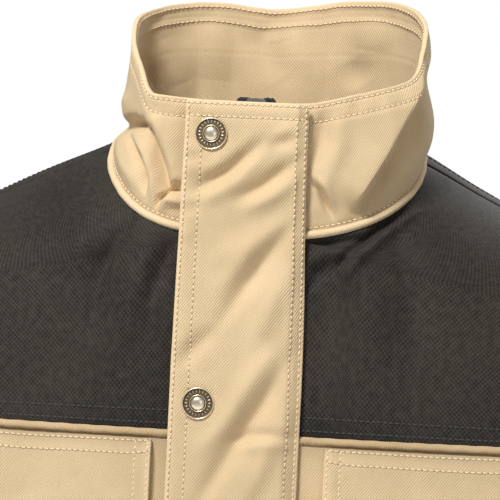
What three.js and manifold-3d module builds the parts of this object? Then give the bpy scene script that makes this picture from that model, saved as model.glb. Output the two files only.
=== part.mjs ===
// Stand-collar work jacket for beekeeping: twill body, dark yokes, zip under a snapped storm flap.
// Millimetres, +Z up, -Y is the wearer's front, +X is the wearer's left.
// The garment is drafted with its hem at z = 0 and then shifted so that the eye of the
// hanger loop, inside the back neck, is the origin.
import * as THREE from "three";
import { mergeVertices } from "three/addons/utils/BufferGeometryUtils.js";
import Module from "manifold-3d";

const wasm = await Module();
wasm.setup();

// ---------------------------------------------------------------- driving dimensions
const LOOP_EYE = [0, 37, 720]; // eye of the hanger loop in drafting coordinates
const FRONT_LEN = 735; // hem to collar top at centre front
const CF_Y0 = -138, // centre front line at the hem
  CF_SLOPE = 0.0735; // and its lean towards the back, per mm of height
const PIPE_Z = 564, // height of the piped yoke seam
  PIPE_R = 2;
const YOKE_Z = PIPE_Z + PIPE_R + 0.3, // lower edge of the yokes
  PANEL_Z = PIPE_Z - PIPE_R - 0.3; // upper edge of the panels
const BAND_H = 50; // waistband height
const ARMPIT_Z = 420,
  SHOULDER_Z = 648,
  ARM_X = 205; // armhole plane
const ARM_FRONT = 58,
  ARM_BACK = 62; // half depths of the armhole oval
const NECK = { a: 86, b: 68, y: -21, zf: 667, zb: 715 }; // neck seam ring
const ZIP_HALF = 9; // half of the gap between the front edges, where the zip runs
const T_PANEL = 3,
  T_COLLAR = 2,
  T_SLEEVE = 2.6,
  T_FLAP = 2.3;
const GAP = 0.4;
const SNAP_X = -21,
  SNAP_FIRST = 17.5,
  SNAP_PITCH = 137,
  SNAP_COUNT = 6;
const CAP_R = 8.25;
const FLAP_SEAM_X = 31.5,
  FLAP_EDGE_X = -36;

// ---------------------------------------------------------------- materials
const twill = () => new THREE.MeshStandardMaterial({ color: 0xdcc194, roughness: 0.92, metalness: 0 });
const oxford = () => new THREE.MeshStandardMaterial({ color: 0x2e2b26, roughness: 0.85, metalness: 0 });
const brass = () => new THREE.MeshStandardMaterial({ color: 0x9a8458, roughness: 0.38, metalness: 0.9 });
const tape = () => new THREE.MeshStandardMaterial({ color: 0x1c1c1e, roughness: 0.9, metalness: 0 });
const nylon = () => new THREE.MeshStandardMaterial({ color: 0x3a3b3d, roughness: 0.5, metalness: 0 });
const gunmetal = () => new THREE.MeshStandardMaterial({ color: 0x55565a, roughness: 0.35, metalness: 0.9 });

const jacket = new THREE.Group();
const drafted = new THREE.Group(); // everything below is placed in drafting coordinates
drafted.position.set(-LOOP_EYE[0], -LOOP_EYE[1], -LOOP_EYE[2]);
jacket.add(drafted);

// ---------------------------------------------------------------- small maths
const lerp = (a, b, t) => a + (b - a) * t;
const clamp = (x, a, b) => Math.min(b, Math.max(a, x));
const v3 = (x, y, z) => new THREE.Vector3(x, y, z);
// Monotone-ish smooth interpolation through [x, y] pairs.
function table(pairs, x) {
  const n = pairs.length;
  if (x <= pairs[0][0]) return pairs[0][1];
  if (x >= pairs[n - 1][0]) return pairs[n - 1][1];
  let i = 0;
  while (x > pairs[i + 1][0]) i++;
  const [x0, y0] = pairs[i],
    [x1, y1] = pairs[i + 1];
  const m = (k) => {
    if (k <= 0 || k >= n - 1) return 0;
    return (pairs[k + 1][1] - pairs[k - 1][1]) / (pairs[k + 1][0] - pairs[k - 1][0]);
  };
  const h = x1 - x0,
    t = (x - x0) / h,
    m0 = i === 0 ? (y1 - y0) / h : m(i),
    m1 = i === n - 2 ? (y1 - y0) / h : m(i + 1);
  const t2 = t * t,
    t3 = t2 * t;
  return (2 * t3 - 3 * t2 + 1) * y0 + (t3 - 2 * t2 + t) * h * m0 + (-2 * t3 + 3 * t2) * y1 + (t3 - t2) * h * m1;
}

// ---------------------------------------------------------------- the drafted surfaces
const cfY = (z) => CF_Y0 + CF_SLOPE * z;
const cbY = (z) => table([[0, 122], [60, 128], [220, 126], [420, 146], [520, 140], [620, 112], [680, 76], [715, 47]], z);
const sideX = (z) => table([[0, 198], [50, 199], [75, 204], [130, ARM_X], [420, ARM_X]], z);
const sideY = (z) => table([[0, -6], [420, 15]], z);

// Neck seam ring: phi 0 at centre front, 90 degrees at the side, 180 at the nape.
function ring(R, phi, out = 0) {
  const n = phi < Math.PI / 2 ? 2.6 : 2.2;
  const s = Math.pow(Math.abs(Math.sin(phi)), 2 / n),
    c = Math.sign(Math.cos(phi)) * Math.pow(Math.abs(Math.cos(phi)), 2 / n);
  const y = R.y - (R.b + out) * c,
    t = clamp((y - (R.y - R.b)) / (2 * R.b), 0, 1);
  const bump = R === NECK ? 60 : 24;
  return v3((R.a + out) * s, y, R.zf + (R.zb - R.zf) * t + bump * t * (1 - t));
}
const ringPhiAtX = (R, x) => Math.asin(Math.pow(x / R.a, 1.3));

const V_YOKE = 0.6;
const BETA_Y = Math.asin((YOKE_Z - (ARMPIT_Z + SHOULDER_Z) / 2) / ((SHOULDER_Z - ARMPIT_Z) / 2));
// Outer edge of a front or back half: side seam below the armpit, armhole oval above it.
function outerEdge(v, back) {
  if (v <= V_YOKE) {
    const z = (v / V_YOKE) * YOKE_Z;
    if (z <= ARMPIT_Z) return v3(sideX(z), sideY(z), z);
    return armhole(Math.asin(clamp((z - (ARMPIT_Z + SHOULDER_Z) / 2) / ((SHOULDER_Z - ARMPIT_Z) / 2), -1, 1)), back);
  }
  return armhole(lerp(BETA_Y, Math.PI / 2, (v - V_YOKE) / (1 - V_YOKE)), back);
}
function armhole(beta, back) {
  const z = (ARMPIT_Z + SHOULDER_Z) / 2 + ((SHOULDER_Z - ARMPIT_Z) / 2) * Math.sin(beta);
  const yc = lerp(15, 5, (z - ARMPIT_Z) / (SHOULDER_Z - ARMPIT_Z));
  return v3(ARM_X, yc + (back ? ARM_BACK : -ARM_FRONT) * Math.cos(beta), z);
}
// Inner edge: centre front (or back) line, then the neck seam up to the shoulder's neck point.
const V_NF = 0.793,
  V_NB = 0.836;
function innerEdge(v, back) {
  const vn = back ? V_NB : V_NF,
    x0 = back ? 0 : ZIP_HALF;
  if (v <= V_YOKE) {
    const z = (v / V_YOKE) * YOKE_Z;
    return v3(x0, back ? cbY(z) : cfY(z), z);
  }
  if (v <= vn) {
    const z = lerp(YOKE_Z, back ? NECK.zb : NECK.zf, (v - V_YOKE) / (vn - V_YOKE));
    return v3(x0, back ? cbY(z) : cfY(z), z);
  }
  const t = (v - vn) / (1 - vn);
  return back ? ring(NECK, lerp(Math.PI, Math.PI / 2, t)) : ring(NECK, lerp(ringPhiAtX(NECK, ZIP_HALF), Math.PI / 2, t));
}
function bodyPoint(s, v, back) {
  const A = innerEdge(v, back),
    B = outerEdge(v, back);
  const n0 = back ? 2.5 : 3.2;
  const n = v <= V_YOKE ? n0 : lerp(n0, 1, Math.pow((v - V_YOKE) / (1 - V_YOKE), 0.8));
  const c = Math.pow(Math.max(0, 1 - Math.pow(s, n)), 1 / n);
  return v3(lerp(A.x, B.x, s), B.y + (A.y - B.y) * c, lerp(A.z, B.z, s));
}
const vOfZ = (z) => (z / YOKE_Z) * V_YOKE; // for z up to the yoke seam
const S_LIST = [0, 0.17, 0.34, 0.5, 0.66, 0.8, 0.88, 0.94, 0.977, 0.9933, 0.9993, 1 - 2.6e-9];

// ---------------------------------------------------------------- closed shells from a grid
// P(u, v) gives the outer surface; the shell goes in by `thick` along the surface normal,
// after standing out by `lift`. `level(v)` says which rows are cut level, and `aside(u)` moves
// the place where the normal is read, for where rows and columns run together.
function normalAt(P, u, v, flip) {
  const e = 1e-4,
    u0 = Math.max(0, u - e),
    u1 = Math.min(1, u + e),
    w0 = Math.max(0, v - e),
    w1 = Math.min(1, v + e);
  const du = P(u1, v).sub(P(u0, v)),
    dv = P(u, w1).sub(P(u, w0));
  const n = du.cross(dv).normalize();
  return flip ? n.negate() : n;
}
// A seam or hem is cut level: there the normal is taken across the horizontal section alone.
function levelNormalAt(P, u, v, flip) {
  const e = 1e-4,
    n = P(Math.min(1, u + e), v).sub(P(Math.max(0, u - e), v)).cross(v3(0, 0, 1)).normalize();
  return flip ? n.negate() : n;
}
function shell(P, us, vs, thick, { lift = 0, flip = false, closed = false, level = () => false, aside = (u) => [u], onPlane = () => false } = {}) {
  const nu = us.length,
    nv = vs.length,
    pos = [],
    idx = [];
  const at = (k, i, j) => (k * nv + j) * nu + (closed ? i % nu : i);
  for (let k = 0; k < 2; k++)
    for (let j = 0; j < nv; j++)
      for (let i = 0; i < nu; i++) {
        const n = v3(0, 0, 0);
        if (level(vs[j])) n.copy(levelNormalAt(P, us[i], vs[j], flip));
        else for (const q of aside(us[i])) n.add(normalAt(P, q, vs[j], flip));
        if (onPlane(us[i], vs[j])) n.x = 0;
        n.normalize();
        const p = P(us[i], vs[j]).addScaledVector(n, k === 0 ? lift : lift - thick);
        pos.push(p.x, p.y, p.z);
      }
  const quad = (a, b, c, d) => idx.push(a, b, c, a, c, d);
  const iu = closed ? nu : nu - 1;
  for (let j = 0; j < nv - 1; j++)
    for (let i = 0; i < iu; i++) {
      quad(at(0, i, j), at(0, i + 1, j), at(0, i + 1, j + 1), at(0, i, j + 1));
      quad(at(1, i, j), at(1, i, j + 1), at(1, i + 1, j + 1), at(1, i + 1, j));
    }
  for (let i = 0; i < iu; i++) {
    quad(at(1, i, 0), at(1, i + 1, 0), at(0, i + 1, 0), at(0, i, 0));
    quad(at(0, i, nv - 1), at(0, i + 1, nv - 1), at(1, i + 1, nv - 1), at(1, i, nv - 1));
  }
  if (!closed)
    for (let j = 0; j < nv - 1; j++) {
      quad(at(0, 0, j), at(0, 0, j + 1), at(1, 0, j + 1), at(1, 0, j));
      quad(at(1, nu - 1, j), at(1, nu - 1, j + 1), at(0, nu - 1, j + 1), at(0, nu - 1, j));
    }
  if (flip) for (let i = 0; i < idx.length; i += 3) [idx[i + 1], idx[i + 2]] = [idx[i + 2], idx[i + 1]];
  const g = new THREE.BufferGeometry();
  g.setAttribute("position", new THREE.Float32BufferAttribute(pos, 3));
  g.setIndex(idx);
  g.computeVertexNormals();
  return g;
}
// A copy of a geometry mirrored through x = 0, faces kept outward.
function mirrored(g) {
  const m = g.clone(),
    p = m.getAttribute("position"),
    idx = Array.from(m.index.array);
  for (let i = 0; i < p.count; i++) p.setX(i, -p.getX(i));
  for (let i = 0; i < idx.length; i += 3) [idx[i + 1], idx[i + 2]] = [idx[i + 2], idx[i + 1]];
  m.setIndex(idx);
  m.computeVertexNormals();
  return m;
}
function put(parent, name, geometry, material) {
  const mesh = new THREE.Mesh(geometry, material);
  mesh.name = name;
  parent.add(mesh);
  return mesh;
}
// Solid boolean: takes each tool away from a geometry.
function toSolid(g) {
  const plain = new THREE.BufferGeometry().setAttribute("position", (g.index ? g.toNonIndexed() : g).getAttribute("position"));
  const m = mergeVertices(plain, 1e-4);
  return new wasm.Manifold(
    new wasm.Mesh({ numProp: 3, vertProperties: new Float32Array(m.attributes.position.array), triVerts: new Uint32Array(m.index.array) }),
  );
}
function subtract(g, tools) {
  let s = toSolid(g);
  for (const t of tools) s = s.subtract(toSolid(t));
  const m = s.getMesh(),
    out = new THREE.BufferGeometry();
  out.setAttribute("position", new THREE.Float32BufferAttribute(Array.from(m.vertProperties), 3));
  out.setIndex(Array.from(m.triVerts));
  out.computeVertexNormals();
  return out;
}
const flat = () => true,
  flatHem = (v) => v < 0.61;

function union(list) {
  let s = toSolid(list[0]);
  for (const g of list.slice(1)) s = s.add(toSolid(g));
  const m = s.getMesh(),
    out = new THREE.BufferGeometry();
  out.setAttribute("position", new THREE.Float32BufferAttribute(Array.from(m.vertProperties), 3));
  out.setIndex(Array.from(m.triVerts));
  out.computeVertexNormals();
  return out;
}

// ---------------------------------------------------------------- torso panels
const front = (s, v) => bodyPoint(s, v, false);
const back = (s, v) => bodyPoint(s, v, true);
const vList = (...zs) => zs.map(vOfZ);
const panelV = vList(BAND_H + GAP, 120, 220, 330, 420, 445, 490, PANEL_Z);
const yokeVF = [V_YOKE, 0.67, 0.73, V_NF, 0.82, 0.86, 0.92, 0.9985];
const yokeVB = [V_YOKE, 0.69, 0.77, V_NB, 0.87, 0.91, 0.95, 0.9985];
const frontPanel = shell(front, S_LIST, panelV, T_PANEL, { flip: false, level: flat });
put(drafted, "front_panel_left", frontPanel, twill());
put(drafted, "front_panel_right", mirrored(frontPanel), twill());
const NEAR = 0.12; // near the centre lines the neck seam runs along the rows
const frontYoke = shell(front, S_LIST, yokeVF, T_PANEL, { level: flatHem, aside: (u) => [Math.max(u, NEAR)] });
put(drafted, "front_yoke_left", frontYoke, oxford());
put(drafted, "front_yoke_right", mirrored(frontYoke), oxford());
// The back is one piece: u runs from the wearer's right (-1) to the left (+1).
const backWhole = (u, v) => {
  const k = 2 * u - 1,
    p = back(Math.abs(k), v);
  return k < 0 ? v3(-p.x, p.y, p.z) : p;
};
const backU = [...S_LIST.slice(1).reverse().map((s) => (1 - s) / 2), 0.5, ...S_LIST.slice(1).map((s) => (1 + s) / 2)];
put(drafted, "back_panel", shell(backWhole, backU, panelV, T_PANEL, { flip: true, level: flat }), twill());
// The back yoke runs up to the neck and is open there, so it is drawn as a half and its mirror image.
const halfYoke = shell(back, S_LIST, yokeVB, T_PANEL, { flip: true, level: flatHem, aside: (u) => [Math.max(u, NEAR)], onPlane: (u, v) => u === 0 && v <= V_NB });
put(drafted, "back_yoke", union([halfYoke, mirrored(halfYoke)]), oxford());

// ---------------------------------------------------------------- waistband, three pieces
const bandV = vList(0, BAND_H);
const bandFront = shell(front, S_LIST, bandV, T_PANEL + 0.6, { lift: 0.3, level: flat });
put(drafted, "waistband_front_left", bandFront, twill());
put(drafted, "waistband_front_right", mirrored(bandFront), twill());
put(drafted, "waistband_back", shell(backWhole, backU, bandV, T_PANEL + 0.6, { lift: 0.3, flip: true, level: flat }), twill());

// ---------------------------------------------------------------- piping in the yoke seam
function pipe(points, r, sides = 8) {
  const section = new THREE.Shape(
    Array.from({ length: sides }, (_, i) => new THREE.Vector2(r * Math.cos((2 * Math.PI * (i + 0.5)) / sides), r * Math.sin((2 * Math.PI * (i + 0.5)) / sides))),
  );
  return new THREE.ExtrudeGeometry(section, { extrudePath: new THREE.CatmullRomCurve3(points), steps: points.length * 2, bevelEnabled: false });
}
const PIPE_S = [0.001, 0.17, 0.34, 0.5, 0.66, 0.8, 0.88, 0.94, 0.977, 0.9933, 0.998];
const onFront = (s, z, lift) => {
  const n = levelNormalAt(front, s, vOfZ(z), false);
  return front(s, vOfZ(z)).addScaledVector(n, lift);
};
const onBack = (u, z, lift) => {
  const n = levelNormalAt(backWhole, u, vOfZ(z), true);
  return backWhole(u, vOfZ(z)).addScaledVector(n, lift);
};
const pipeFront = pipe(PIPE_S.map((s) => onFront(s, PIPE_Z, -1)), PIPE_R);
put(drafted, "piping_front_left", pipeFront, twill());
put(drafted, "piping_front_right", pipe(PIPE_S.map((s) => onFront(s, PIPE_Z, -1)).map((p) => v3(-p.x, p.y, p.z)), PIPE_R), twill());
put(
  drafted,
  "piping_back",
  pipe([...PIPE_S.slice(1).reverse().map((s) => (1 - s) / 2), 0.5, ...PIPE_S.slice(1).map((s) => (1 + s) / 2)].map((u) => onBack(u, PIPE_Z, -1)), PIPE_R),
  twill(),
);

// ---------------------------------------------------------------- stand collar, outer and facing
const PHI_C = [3.6, 14, 26, 38, 50, 62, 75, 90, 105, 120, 135, 150, 165, 180].map((d) => (d * Math.PI) / 180);
// The worn top edge, from the closed front round to the nape: the right side leans in and turns a
// corner at the front, the left side stands out and higher.
const EDGE_RIGHT = [
  [-10.1, -83.9, 735.1], [-21, -83.4, 735.3], [-33, -82.3, 735.7], [-46.5, -82, 735.7], [-55.8, -78.5, 736.8], [-62.3, -66, 747.5], [-68.3, -48, 758.9], [-73, -28, 768],
  [-74.5, -8, 775.4], [-72.7, 14, 779.9], [-65.3, 30, 783.4], [-55.3, 40, 785.6], [-41.9, 47, 787.2], [-26.9, 51, 787.4], [-9.8, 53, 786.2], [0, 53.2, 786.2],
];
const EDGE_LEFT = [
  [10.1, -83.9, 735.1], [21, -83.4, 735.3], [32, -82.3, 736.1], [47.8, -78.5, 740.1], [62.7, -71.5, 744.3], [74.6, -62, 748.9], [81.3, -50, 756.4], [84.3, -36, 766.6],
  [84.8, -20, 777.5], [80.5, -4, 785.2], [73.6, 10, 789.7], [64.5, 22, 791.9], [50.8, 34, 791.4], [37.7, 43, 790.3], [24.5, 49, 788.3], [9.5, 53, 786.7], [0, 53.2, 786.2],
];
const shares = (pts) => {
  const out = [0];
  for (let i = 1; i < pts.length; i++) out.push(out[i - 1] + Math.hypot(...pts[i].map((v, k) => v - pts[i - 1][k])));
  return out.map((v) => v / out[out.length - 1]);
};
const edgeTables = (pts) => [0, 1, 2].map((k) => shares(pts).map((f, i) => [f, pts[i][k]]));
const EDGE_T = [edgeTables(EDGE_RIGHT), edgeTables(EDGE_LEFT)];
// how far along the neck seam each angle lies, as a share of its half
const NECK_PHI = Array.from({ length: 181 }, (_, i) => PHI_C[0] + ((Math.PI - PHI_C[0]) * i) / 180);
const NECK_SHARE = shares(NECK_PHI.map((p) => ring(NECK, p).toArray()));
function neckShare(phi) {
  const i = Math.min(179, Math.max(0, Math.floor(((phi - PHI_C[0]) / (Math.PI - PHI_C[0])) * 180)));
  const t = (phi - NECK_PHI[i]) / (NECK_PHI[i + 1] - NECK_PHI[i]);
  return lerp(NECK_SHARE[i], NECK_SHARE[i + 1], Math.min(1, Math.max(0, t)));
}
function collarPoint(u, w) {
  // u in 0..1 over the whole way round, w in 0..1 from the neck seam to the top edge
  const a0 = PHI_C[0],
    total = 2 * (Math.PI - a0),
    along = a0 + u * total;
  const right = along <= Math.PI,
    phi = right ? along : 2 * Math.PI - along,
    sx = right ? -1 : 1;
  const p0 = ring(NECK, phi);
  p0.z += 0.9;
  p0.x = (p0.x + 3.5 * Math.sin(Math.PI * w) * Math.pow(Math.sin(phi), 2)) * sx;
  const f = neckShare(phi);
  return p0.lerp(v3(...EDGE_T[right ? 0 : 1].map((t) => table(t, f))), w);
}
const cU = PHI_C.slice(0, -1).map((p) => (p - PHI_C[0]) / (2 * (Math.PI - PHI_C[0])));
const cAll = [...cU, 0.5, ...cU.map((u) => 1 - u).reverse()];
put(drafted, "collar_outer", shell(collarPoint, cAll, [0, 0.34, 0.67, 1], T_COLLAR, { flip: true, level: flat }), twill());
put(drafted, "collar_facing", shell(collarPoint, cAll, [0, 0.34, 0.67, 1], T_COLLAR, { lift: -(T_COLLAR + GAP), flip: true, level: flat }), twill());

// ---------------------------------------------------------------- hanger loop inside the back neck
{
  const outline = [[-34, 0], [-27, 0], [-19, -6], [19, -6], [27, 0], [34, 0], [34, 1.5], [26.4, 1.5], [18.4, -4.5], [-18.4, -4.5], [-26.4, 1.5], [-34, 1.5]];
  // drawn in x and depth, with the ends following the curve of the neck
  const bend = (x, d) => d - 0.0019 * x * x;
  const shape = new THREE.Shape(outline.map(([x, d]) => new THREE.Vector2(x, bend(x, d))));
  const g = new THREE.ExtrudeGeometry(shape, { depth: 8, bevelEnabled: false });
  const loop = put(drafted, "hanger_loop", g, twill());
  loop.position.set(0, 37.2, 716);
}

// ---------------------------------------------------------------- front plane frame
// Local x is the jacket's x, local y stands out of the front, local z runs down from the collar top.
const lean = Math.atan(CF_SLOPE);
const frontPlane = new THREE.Group();
frontPlane.position.set(0, cfY(FRONT_LEN), FRONT_LEN);
frontPlane.setRotationFromMatrix(
  new THREE.Matrix4().makeBasis(v3(1, 0, 0), v3(0, -Math.cos(lean), Math.sin(lean)), v3(0, -Math.sin(lean), -Math.cos(lean))),
);
drafted.add(frontPlane);
const FULL = FRONT_LEN / Math.cos(lean);
const snapS = Array.from({ length: SNAP_COUNT }, (_, i) => SNAP_FIRST + i * SNAP_PITCH);

// ---------------------------------------------------------------- storm flap
const flapSection = [
  [FLAP_SEAM_X, 1.4], [FLAP_SEAM_X, 3.7], [27, 6.5], [22, 7.6], [FLAP_EDGE_X, 7.6], [FLAP_EDGE_X, 7.6 - T_FLAP], [21.4, 7.6 - T_FLAP], [26, 4.1],
];
{
  const g = new THREE.ExtrudeGeometry(new THREE.Shape(flapSection.map(([x, y]) => new THREE.Vector2(x, y))), { depth: FULL - 4, bevelEnabled: false, steps: 1 });
  const holes = snapS.map((s) => {
    const c = new THREE.CylinderGeometry(2.6, 2.6, 12, 12);
    c.translate(SNAP_X, 6, s - 0.5);
    return c;
  });
  const flap = put(frontPlane, "placket_flap", subtract(g, holes), twill());
  flap.position.set(0, 0, 0.5);
}

// ---------------------------------------------------------------- ring snaps
const lathe = (pts, n = 12) => new THREE.LatheGeometry(pts.map(([r, y]) => new THREE.Vector2(r, y)), n);
// Cap with its rivet barrel: rim, sunk ring and a small dome. Height 0 is the cap's back face.
const capProfile = (barrel) => [
  ...(barrel ? [[0, -barrel], [2.2, -barrel], [2.2, 0]] : [[0, 0]]),
  [CAP_R, 0], [CAP_R, 1.2], [CAP_R - 1, 1.9], [CAP_R - 1.6, 1.3], [3.9, 1.3], [3.4, 1.8], [2.6, 2.3], [0, 2.6],
];
const socketProfile = [[2.6, 0], [5.5, 0], [5.9, 1], [5.5, 2.2], [2.6, 2.2], [2.6, 0]];
const studProfile = [[0, 0], [5, 0], [5, 1], [2.2, 1], [2.1, 2.2], [2.25, 3.2], [1.6, 3.7], [0, 3.7]];
snapS.forEach((s, i) => {
  const k = i + 1;
  const cap = put(frontPlane, "snap_cap_" + k, lathe(capProfile(3.3)), brass());
  cap.position.set(SNAP_X, 7.9, s);
  const socket = put(frontPlane, "snap_socket_" + k, lathe(socketProfile), brass());
  socket.position.set(SNAP_X, 2.8, s);
  const stud = put(frontPlane, "snap_stud_" + k, lathe(studProfile), brass());
  stud.position.set(SNAP_X, i === SNAP_COUNT - 1 ? 0.65 : 0.35, s);
});

// ---------------------------------------------------------------- zip
const ZIP_TOP = -3,
  ZIP_LEN = FULL - 12;
const box = (x0, x1, y0, y1, z0, z1) => {
  const g = new THREE.BoxGeometry(x1 - x0, y1 - y0, z1 - z0);
  g.translate((x0 + x1) / 2, (y0 + y1) / 2, (z0 + z1) / 2);
  return g;
};
put(frontPlane, "zip_tape_left", box(3.9, 17, -6.5, -5.6, ZIP_TOP, ZIP_LEN), tape());
put(frontPlane, "zip_tape_right", box(-17, -3.9, -6.5, -5.6, ZIP_TOP, ZIP_LEN), tape());
put(frontPlane, "zip_chain_left", box(0.6, 3.6, -7.3, -4.7, 0, ZIP_LEN - 3), nylon());
put(frontPlane, "zip_chain_right", box(-3.6, -0.6, -7.3, -4.7, 0, ZIP_LEN - 3), nylon());
put(frontPlane, "zip_bottom_stop", box(-3.6, 3.6, -8, -4.1, ZIP_LEN - 2.6, ZIP_LEN + 5), nylon());
// Slider: front and back plates with side flanges, a thin wedge between the chain halves, and a bail.
const plate = (y0, y1) => {
  const sh = new THREE.Shape([
    [-4, 0], [4, 0], [6, 3], [5.6, 9], [5, 13], [-5, 13], [-5.6, 9], [-6, 3],
  ].map(([x, z]) => new THREE.Vector2(x, z)));
  const g = new THREE.ExtrudeGeometry(sh, { depth: y1 - y0, bevelEnabled: false });
  g.rotateX(Math.PI / 2); // shape's y becomes local z, depth goes to -y
  g.translate(0, y1, 0);
  return g;
};
const SL = -2; // top of the slider, along the zip
const slider = union([
  plate(-4.3, -2.8),
  plate(-9.2, -7.7),
  box(-5.6, -4.4, -5.3, -4.2, 3, 12),
  box(4.4, 5.6, -5.3, -4.2, 3, 12),
  box(-5.6, -4.4, -7.8, -6.8, 3, 12),
  box(4.4, 5.6, -7.8, -6.8, 3, 12),
  box(-0.28, 0.28, -8, -4, 0.5, 4.5),
  box(-0.9, 0.9, -3, 2.7, 2, 3.6),
  box(-0.9, 0.9, -3, 2.7, 8.2, 9.8),
  box(-0.9, 0.9, 1.9, 2.7, 2, 9.8),
]);
put(frontPlane, "zip_slider", slider, gunmetal()).position.set(0, 0, SL);
{
  // Puller: an eye round the bail's lower leg and a tab, lying in the space under the flap.
  const eye = new THREE.Shape();
  eye.absarc(0, 0, 3.9, 0, Math.PI * 2, false);
  const hole = new THREE.Path();
  hole.absarc(0, 0, 2.3, 0, Math.PI * 2, true);
  eye.holes.push(hole);
  const e = new THREE.ExtrudeGeometry(eye, { depth: 1.1, bevelEnabled: false, curveSegments: 8 });
  const t = new THREE.ExtrudeGeometry(
    new THREE.Shape([[-1.6, 3.2], [1.6, 3.2], [2.8, 7], [3.2, 24], [2, 26.5], [-2, 26.5], [-3.2, 24], [-2.8, 7]].map(([x, y]) => new THREE.Vector2(x, y))),
    { depth: 1.1, bevelEnabled: false },
  );
  const g = union([e, t]);
  g.rotateX(Math.PI / 2);
  g.translate(0, 1.1, 0);
  put(frontPlane, "zip_puller", g, gunmetal()).position.set(0, 0.5, SL + 9);
}

// ---------------------------------------------------------------- chest pockets and their flaps
const POCKET_X0 = 43,
  POCKET_X1 = 166.3,
  POCKET_Z0 = 415,
  POCKET_Z1 = 553,
  PFLAP_Z0 = 494,
  PFLAP_Z1 = 560.5;
// u across from x0 to x1, w upward from z0 to z1, on the front surface
const patch = (x0, x1, z0, z1) => (u, w) => {
  const z = lerp(z0, z1, w),
    v = vOfZ(z),
    x = lerp(x0, x1, u),
    A = innerEdge(v, false),
    B = outerEdge(v, false);
  return front((x - A.x) / (B.x - A.x), v);
};
// the panel's own grid lines that fall inside a patch, so that the pieces nest facet on facet
const between = (lines, a, b) => [0, ...lines.filter((t) => t > a + 2 && t < b - 2).map((t) => (t - a) / (b - a)), 1];
const GRID_X = S_LIST.map((q) => lerp(ZIP_HALF, ARM_X, q)),
  GRID_Z = [420, 445, 490];
const pocket = shell(
  patch(POCKET_X0 + 1, POCKET_X1 - 1, POCKET_Z0, POCKET_Z1),
  between(GRID_X, POCKET_X0 + 1, POCKET_X1 - 1),
  between([...GRID_Z, 520], POCKET_Z0, POCKET_Z1),
  1.6,
  { lift: 2.0, level: flat },
);
put(drafted, "chest_pocket_left", pocket, twill());
put(drafted, "chest_pocket_right", mirrored(pocket), twill());
const pflapP = patch(POCKET_X0, POCKET_X1, PFLAP_Z0, PFLAP_Z1);
const pflap = shell(pflapP, between(GRID_X, POCKET_X0, POCKET_X1), [0, 0.4, 1], 2.2, { lift: 4.9, level: flat });
put(drafted, "pocket_flap_left", pflap, twill());
put(drafted, "pocket_flap_right", mirrored(pflap), twill());
// snap on a surface: its height axis along the surface normal
function seat(parent, name, geometry, material, p, n, lift) {
  const mesh = put(parent, name, geometry, material);
  mesh.position.copy(p).addScaledVector(n, lift);
  mesh.quaternion.setFromUnitVectors(v3(0, 1, 0), n);
  return mesh;
}
for (const side of [1, -1]) {
  const tag = side > 0 ? "left" : "right";
  const p = pflapP(0.5, 0.2),
    n = levelNormalAt(pflapP, 0.5, 0.2, false);
  p.x *= side;
  n.x *= side;
  seat(drafted, "pocket_snap_cap_" + tag, lathe(capProfile(0)), brass(), p, n, 5.9);
}

// ---------------------------------------------------------------- lower pocket welts
{
  // slanted strips on the lower front: (x, z) of the strip's foot and head
  const foot = [148, 92],
    head = [112, 236],
    wide = 24;
  const strip = (u, w) => {
    const z = lerp(foot[1], head[1], w),
      x = lerp(foot[0], head[0], w) + (u - 0.5) * wide,
      v = vOfZ(z),
      A = innerEdge(v, false),
      B = outerEdge(v, false);
    return front((x - A.x) / (B.x - A.x), v);
  };
  const g = shell(strip, [0, 0.5, 1], [0, 0.33, 0.67, 1], 1.8, { lift: 2.9, level: flat });
  put(drafted, "pocket_welt_left", g, twill());
  put(drafted, "pocket_welt_right", mirrored(g), twill());
}

// ---------------------------------------------------------------- sleeves
const SLV = { dir: [0.242, -0.97], L: 412, turn: 60 };
const U0 = [ARM_X + GAP, ARMPIT_Z];
const T0 = [ARM_X + GAP, SHOULDER_Z],
  TB = [[ARM_X + GAP, SHOULDER_Z], [252, 636], [346, 556], [365.4, 398]],
  TE = [397.2, 43.4];
const SL_T = 0.3;
function sleeveLines(t) {
  let U, T;
  if (t <= SL_T) {
    const k = t / SL_T,
      m = 1 - k;
    U = [U0[0] + SLV.dir[0] * SLV.turn * k, U0[1] + SLV.dir[1] * SLV.turn * k];
    T = [0, 1].map((i) => m * m * m * TB[0][i] + 3 * m * m * k * TB[1][i] + 3 * m * k * k * TB[2][i] + k * k * k * TB[3][i]);
  } else {
    const k = (t - SL_T) / (1 - SL_T),
      L = lerp(SLV.turn, SLV.L, k);
    U = [U0[0] + SLV.dir[0] * L, U0[1] + SLV.dir[1] * L];
    T = [lerp(TB[3][0], TE[0], k), lerp(TB[3][1], TE[1], k)];
  }
  return { U, T, d: table([[0, 60], [0.3, 69], [0.6, 61], [0.85, 50], [1, 44]], t), yc: table([[0, 10], [0.3, 10], [0.6, 3], [1, -32]], t), tilt: t < SL_T ? -5 * (1 - t / SL_T) : 0 };
}
// a in 0..1 is the way round: 0 at the shoulder side, 0.25 at the front, 0.5 under the arm
function sleevePoint(a, t) {
  const { U, T, d, yc, tilt } = sleeveLines(t);
  const al = -a * 2 * Math.PI,
    c = Math.cos(al),
    s = Math.sin(al);
  const side = t < SL_T ? lerp(s > 0 ? ARM_BACK : ARM_FRONT, d, t / SL_T) : d;
  return v3((U[0] + T[0]) / 2 + ((T[0] - U[0]) / 2) * c, yc + tilt * c + side * s, (U[1] + T[1]) / 2 + ((T[1] - U[1]) / 2) * c);
}
function sleeveNormal(a, t) {
  const e = 1e-4;
  const da = sleevePoint(a + e, t).sub(sleevePoint(a - e, t)),
    dt = sleevePoint(a, Math.min(1, t + e)).sub(sleevePoint(a, Math.max(0, t - e)));
  return da.cross(dt).normalize();
}
const T_CUFF = SL_T + (1 - SL_T) * ((352 - SLV.turn) / (SLV.L - SLV.turn));
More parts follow.
